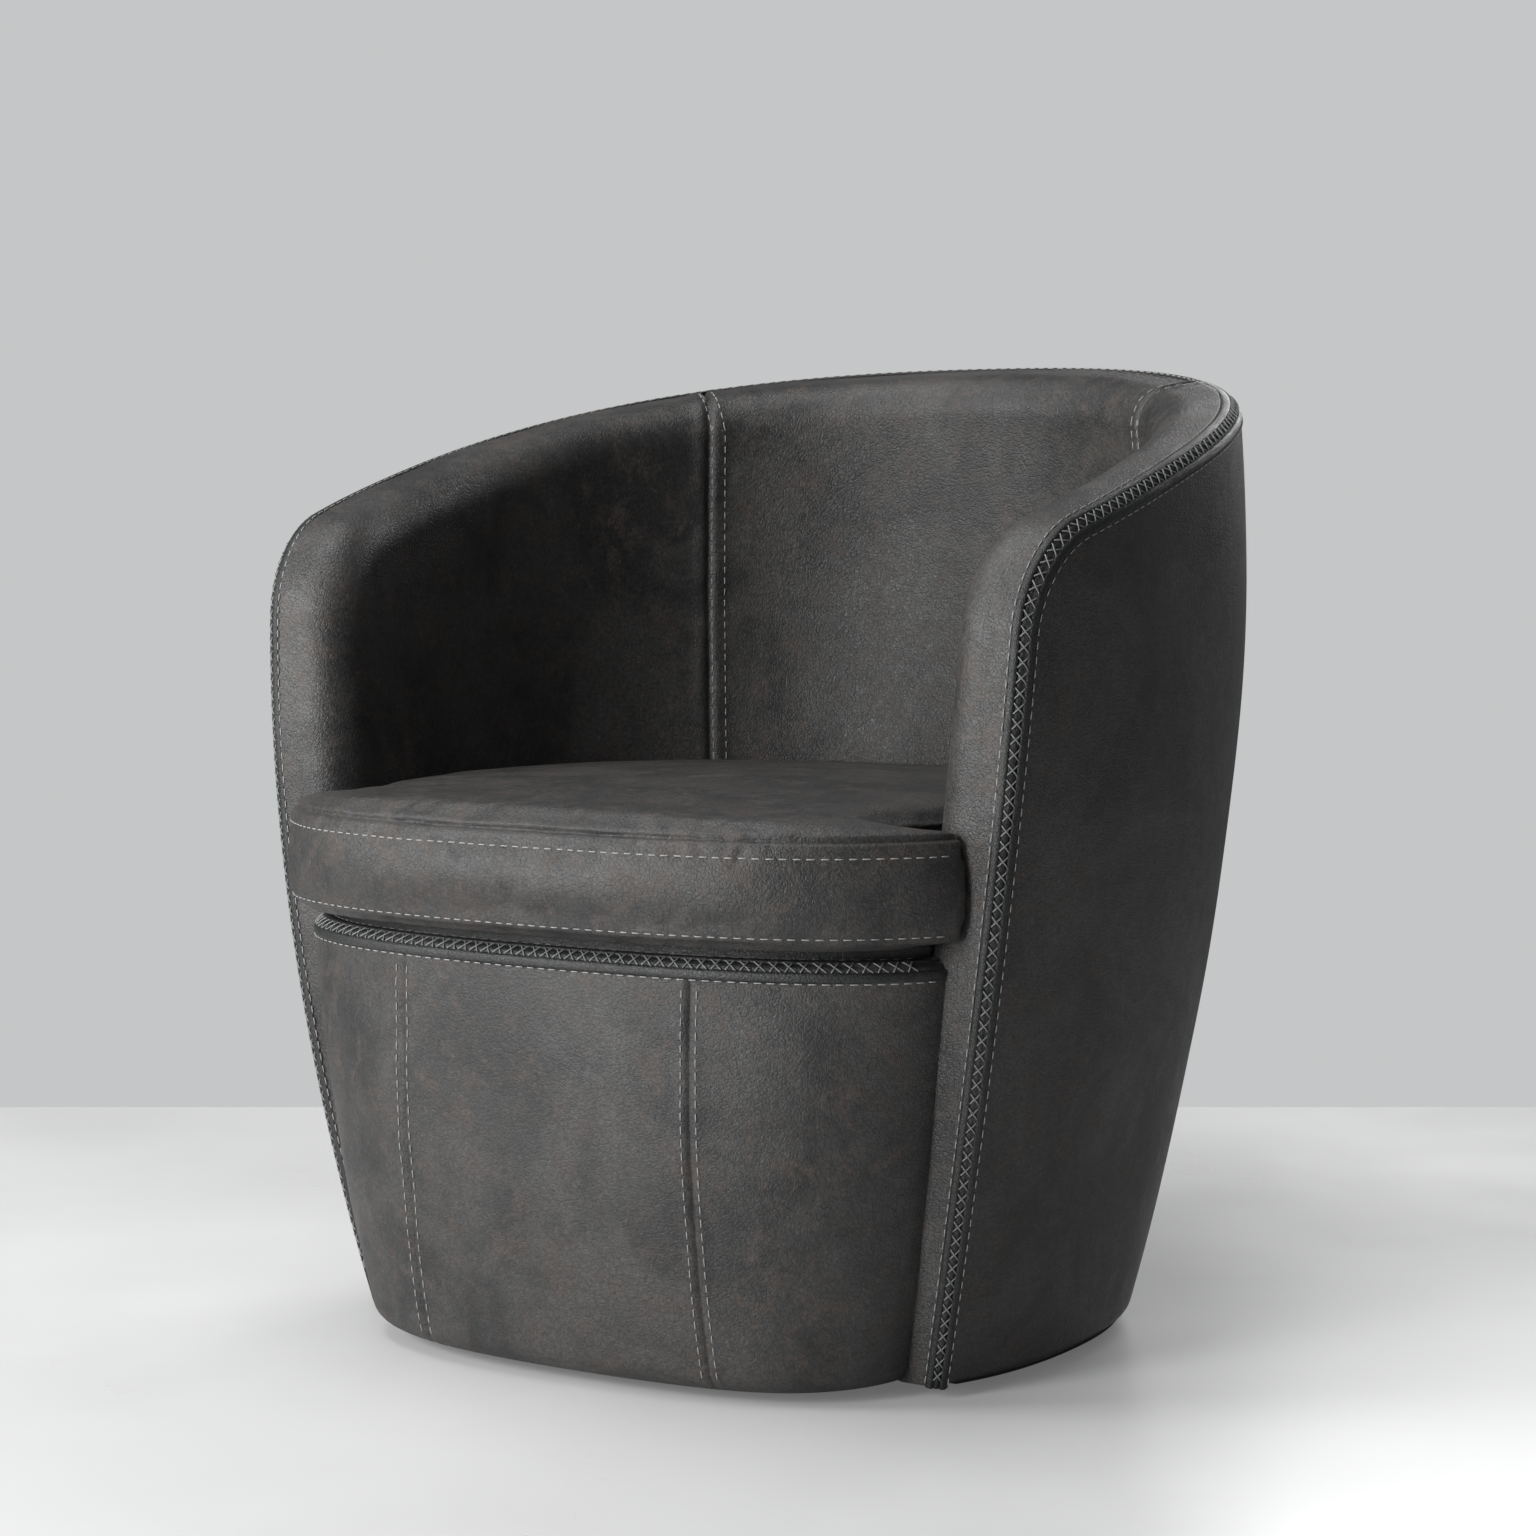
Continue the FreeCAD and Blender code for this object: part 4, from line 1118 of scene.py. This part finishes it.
inside_tree = surface_of(soft["inside_right"], soft["inside_left"], soft["inside_back"])
z_line = np.linspace(*INSIDE_SEAM_SPAN, SEAM_POINTS)
for side_sign in (-1, 1):
    for stitch_sign in (-1, 1):
        upright = seam_line(INSIDE_ANGLE, z_line, WALL)
        normal = -barrel_normal(upright, WALL)
        across = unit(np.cross(normal, np.array([0.0, 0.0, 1.0])))
        path = upright + across * stitch_sign * SEAM_STITCH_LINE
        roll = Roll(np.array([U_INSIDE_SEAM, U_INSIDE_SEAM + 0.01]))
        over = [roll.at(v) for v in np.linspace(2.95, 1.05, 14)]
        over_p = np.array([p[0] for p, _ in over])
        over_n = np.array([n[0] for _, n in over])
        aside = unit(over[0][0][1] - over[0][0][0])
        over_p = over_p - aside * stitch_sign * SEAM_STITCH_LINE
        points = np.concatenate([path, over_p])
        normals = np.concatenate([normal, over_n])
        flip = np.array([side_sign, 1.0, 1.0])
        points, normals = points * flip, normals * flip
        topstitch(seat_thread, laid(inside_tree, points, normals), normals, SEAM_STITCH_LIFT)

panel_tree = surface_of(soft["panel_centre"], soft["panel_right"], soft["panel_left"])
z_line = np.linspace(*PANEL_SEAM_SPAN, SEAM_POINTS)
for x in (-DRUM_SEAM_X, DRUM_SEAM_X):
    for stitch_sign in (-1, 1):
        p = drum_at_x(np.full(SEAM_POINTS, x + stitch_sign * SEAM_STITCH_LINE), z_line, 0.0)
        n = drum_normal(p, 0.0)
        topstitch(seat_thread, laid(panel_tree, p, n), n, SEAM_STITCH_LIFT)

outside_tree = surface_of(soft["outside_right"], soft["outside_left"], soft["outside_back"])
z_line = np.linspace(*BACK_SEAM_SPAN, BACK_SEAM_POINTS)
for side_sign in (-1, 1):
    for stitch_sign in (-1, 1):
        p = seam_line(BACK_SEAM_ANGLE, z_line, 0.0)
        n = barrel_normal(p, 0.0)
        across = unit(np.cross(n, np.array([0.0, 0.0, 1.0])))
        flip = np.array([side_sign, 1.0, 1.0])
        p = (p + across * stitch_sign * SEAM_STITCH_LINE) * flip
        n = n * flip
        topstitch(seat_thread, laid(outside_tree, p, n), n, SEAM_STITCH_LIFT)
seat_thread.build("seat_topstitching", thread, SEAT_BODY)


# Deck

DECK_VOXEL = 6.0
DECK_SMOOTHING = 4
CUSHION_VOXEL = 4.5
CUSHION_SMOOTHING = 6
CLOTH_FRAMES = 20
BORDER_POINTS = 120
BORDER_ROWS = 8


def copy_of(name, node, voxel, smooth, material):
    """Even copy of a solid's skin."""
    obj = placed(name, frame["nodes"][node].data.copy())
    remesh = obj.modifiers.new("remesh", "REMESH")
    remesh.mode = "VOXEL"
    remesh.voxel_size = voxel * MM
    even = obj.modifiers.new("smooth", "SMOOTH")
    even.factor = 0.5
    even.iterations = smooth
    settle(obj)
    obj.data.materials.clear()
    obj.data.materials.append(material)
    obj.data.shade_smooth()
    return obj


def settle(obj):
    """Applies the modifiers."""
    graph = bpy.context.evaluated_depsgraph_get()
    mesh = bpy.data.meshes.new_from_object(obj.evaluated_get(graph), depsgraph=graph)
    obj.modifiers.clear()
    old = obj.data
    obj.data = mesh
    bpy.data.meshes.remove(old)


def coordinates(mesh):
    return vertex_values(mesh, "co") / MM


def vertex_normals(mesh):
    return vertex_values(mesh, "normal")


def set_coordinates(mesh, co):
    mesh.vertices.foreach_set("co", (co * MM).astype(np.float32).ravel())
    mesh.update()


def inflate(obj, pressure, cap):
    """Cloth under pressure, no point moving further than the cap."""
    scene = bpy.context.scene
    before = coordinates(obj.data)
    cloth = obj.modifiers.new("cloth", "CLOTH")
    settings = cloth.settings
    settings.quality = 5
    settings.mass = 0.4
    settings.tension_stiffness = 25
    settings.compression_stiffness = 25
    settings.use_pressure = True
    settings.uniform_pressure_force = pressure
    settings.effector_weights.gravity = 0
    cloth.point_cache.frame_start = 1
    cloth.point_cache.frame_end = CLOTH_FRAMES
    for number in range(1, CLOTH_FRAMES + 1):
        scene.frame_set(number)
    settle(obj)
    scene.frame_set(1)
    after = coordinates(obj.data)
    move = after - before
    size = np.linalg.norm(move, axis=1, keepdims=True)
    set_coordinates(obj.data, before + move * np.minimum(1, cap / np.maximum(size, 1e-6)))


deck = copy_of("deck_pad_cover", "deck_pad", DECK_VOXEL, DECK_SMOOTHING, deck_cloth)
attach(deck, SEAT_BODY)
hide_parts("deck_pad")

border = Sheet()
share = np.linspace(-1, 1, BORDER_POINTS)
lines = []
for z in np.linspace(DECK_BOTTOM, DECK_TOP - 1, BORDER_ROWS):
    p = drum_at_angle(share * drum_end_angle(min(z, DRUM_TOP), DECK_BORDER_INSET), z, DECK_BORDER_INSET)
    lines.append((p, drum_normal(p, DECK_BORDER_INSET)))
border.grid(*grid_of(lines))
border_obj = border.build("deck_border_leather", binding_leather, SEAT_BODY)
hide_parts("deck_border_cover")


# Loose cushion

cushion = copy_of("cushion_leather_cover", "seat_cushion", CUSHION_VOXEL, CUSHION_SMOOTHING, cushion_leather)
rest = coordinates(cushion.data)
set_coordinates(cushion.data, rest - vertex_normals(cushion.data) * CUSHION_SHRINK)
inflate(cushion, CUSHION_PRESSURE, CUSHION_CAP)
finer = cushion.modifiers.new("finer", "SUBSURF")
finer.levels = 1
finer.render_levels = 1
settle(cushion)
cushion.data.shade_smooth()


def cushion_relief(p, n):
    """Seam under the crown, its folds, and the wrinkles beside them."""
    level = np.clip(1.5 - np.abs(n[:, 2]) * 1.5, 0, 1)
    ring = p[:, 2] - CUSHION_SEAM_HEIGHT
    seam = groove(np.abs(ring), *CUSHION_GROOVE) * level
    folds = -0.6 * np.exp(-((ring + 6.5) / 1.3) ** 2) - 0.45 * np.exp(-((ring + 9.5) / 1.3) ** 2)
    crown = np.clip(n[:, 2], 0, 1) * (0.6 * waves(p, 120.0, 41) + 0.25 * waves(p, 55.0, 43))
    walls = level * (0.3 * waves(p, 90.0, 47) + 0.12 * waves(p, 24.0, 53, 9) * np.exp(-np.abs(ring) / 14))
    return seam + folds * level + crown + walls


co, no = coordinates(cushion.data), vertex_normals(cushion.data)
co = co + no * cushion_relief(co, no)[:, None]
co[:, 2] = np.maximum(co[:, 2], CUSHION_BOTTOM)
ears = np.clip((np.abs(co[:, 0]) - EAR_START) / EAR_LENGTH, 0, 1) * (co[:, 1] < EAR_BACK_Y)
co[:, 0] += ears * np.where(co[:, 0] < 0, EAR_SHIFT_LEFT, EAR_SHIFT_RIGHT)
set_coordinates(cushion.data, co)
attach(cushion, CUSHION_BODY)
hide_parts("seat_cushion")

cushion_tree = surface_of(cushion)
cushion_thread = Thread()
HUB = np.array([0.0, -240.0])
CUSHION_STITCH_SPAN = 97
CUSHION_STITCH_POINTS = 400


def ring_at(z, angles):
    """Line round the front of the cushion at a height, found from its middle outwards."""
    points, normals = [], []
    for a in angles:
        direction = Vector((math.sin(a), -math.cos(a), 0))
        hit, normal, _, _ = cushion_tree.ray_cast(Vector((HUB[0] * MM, HUB[1] * MM, z * MM)), direction, 1.0)
        if hit is None:
            continue
        points.append(np.array(hit) / MM)
        normals.append(np.array(normal))
    normals = np.array(normals)
    outward = np.array(points) - np.array([HUB[0], HUB[1], z])
    normals = normals * np.sign((normals * outward).sum(-1, keepdims=True))
    return np.array(points), normals


for z in CUSHION_STITCH_HEIGHTS:
    turns = np.linspace(-CUSHION_STITCH_SPAN, CUSHION_STITCH_SPAN, CUSHION_STITCH_POINTS)
    p, n = ring_at(z, np.radians(turns))
    topstitch(cushion_thread, p, n, CUSHION_STITCH_LIFT)
cushion_thread.build("cushion_topstitching", thread, CUSHION_BODY)

# Finishes of the solids that stay
slots = {part["node"]: part["material_slot"] for part in frame["record"]["subparts"]}
hem_cloth = plain_material("hem_cloth", (0.012, 0.012, 0.012), 0.9, 0.0, 1200.0, 0.0004)
for name, node in frame["nodes"].items():
    finish = NODE_FINISHES.get(slots.get(name), NODE_FINISHES["frame_wood"])
    if name.startswith(("skirt_rail", "arm_foot_block")):
        finish = hem_cloth
    node.data.materials.clear()
    node.data.materials.append(finish)

# Stage, camera and light
CAMERA_PLACE = (1.537, -2.400, 0.682)
CAMERA_TURN = math.radians(32.31)
CAMERA_PITCH = math.radians(4.43)
SENSOR_WIDTH = 36.0
FOCAL_SHARE = 3433.0 / 1536.0
FLOOR_BEHIND = 0.99
FLOOR_NEAR = -7.0
FLOOR_SIDE = 6.0
FLOOR_GREY = (0.70, 0.70, 0.70)
FLOOR_GLOW = 0.12
WORLD_TINT = (0.9, 0.92, 0.95, 1)
WORLD_STRENGTH = 0.15
BACKDROP_GREY = (0.56, 0.565, 0.57, 1)


def stage_floor():
    mesh = bpy.data.meshes.new("floor")
    near = [(-FLOOR_SIDE, FLOOR_NEAR, 0), (FLOOR_SIDE, FLOOR_NEAR, 0)]
    corners = near + [(FLOOR_SIDE, FLOOR_BEHIND, 0), (-FLOOR_SIDE, FLOOR_BEHIND, 0)]
    mesh.from_pydata(corners, [], [(0, 1, 2, 3)])
    floor = placed("floor", mesh)
    floor.rotation_euler = (0, 0, CAMERA_TURN)
    floor_finish = plain_material("floor_finish", FLOOR_GREY, 0.32, 0.0, 2.5, 0.0, 0.03)
    nodes, links = nodes_of(floor_finish)
    glow = nodes["Principled BSDF"].inputs
    glow["Emission Color"].default_value = (1, 1, 1, 1)
    seen = nodes.new("ShaderNodeLightPath")
    dim = add_node(nodes, "ShaderNodeMath", operation="MULTIPLY")
    dim.inputs[1].default_value = FLOOR_GLOW
    links.new(seen.outputs["Is Camera Ray"], dim.inputs[0])
    links.new(dim.outputs[0], glow["Emission Strength"])
    mesh.materials.append(floor_finish)


stage_floor()
camera = placed("camera", bpy.data.cameras.new("camera"))
camera.location = CAMERA_PLACE
camera.rotation_euler = (math.pi / 2 - CAMERA_PITCH, 0, CAMERA_TURN)
camera.data.sensor_width = SENSOR_WIDTH
camera.data.lens = SENSOR_WIDTH * FOCAL_SHARE
bpy.context.scene.camera = camera


def soft_light(name, place, aim, size, power):
    data = bpy.data.lights.new(name, "AREA")
    data.shape = "RECTANGLE"
    data.size, data.size_y = size
    data.energy = power
    lamp = placed(name, data)
    lamp.location = place
    lamp.rotation_euler = (Vector(aim) - Vector(place)).to_track_quat("-Z", "Y").to_euler()


soft_light("key", (-2.1, -1.9, 1.3), (0.0, 0.0, 0.5), (0.9, 1.4), 46.0)
soft_light("front", (-0.5, -2.5, 0.95), (0.0, 0.2, 0.6), (0.7, 1.3), 44.0)
soft_light("top", (-0.6, -0.4, 2.6), (0.0, 0.0, 0.4), (1.6, 1.6), 34.0)
soft_light("back", (-0.2, 3.2, 1.8), (0.0, 0.0, 0.5), (1.6, 1.4), 40.0)

world = bpy.data.worlds.new("studio")
bpy.context.scene.world = world
world.use_nodes = True
tree = world.node_tree
background = tree.nodes["Background"]
background.inputs["Color"].default_value = WORLD_TINT
background.inputs["Strength"].default_value = WORLD_STRENGTH
behind = tree.nodes.new("ShaderNodeBackground")
behind.inputs["Color"].default_value = BACKDROP_GREY
behind.inputs["Strength"].default_value = 1.0
path = tree.nodes.new("ShaderNodeLightPath")
choose = tree.nodes.new("ShaderNodeMixShader")
tree.links.new(path.outputs["Is Camera Ray"], choose.inputs["Fac"])
tree.links.new(background.outputs["Background"], choose.inputs[1])
tree.links.new(behind.outputs["Background"], choose.inputs[2])
tree.links.new(choose.outputs["Shader"], tree.nodes["World Output"].inputs["Surface"])

bpy.context.scene.view_settings.view_transform = "Standard"
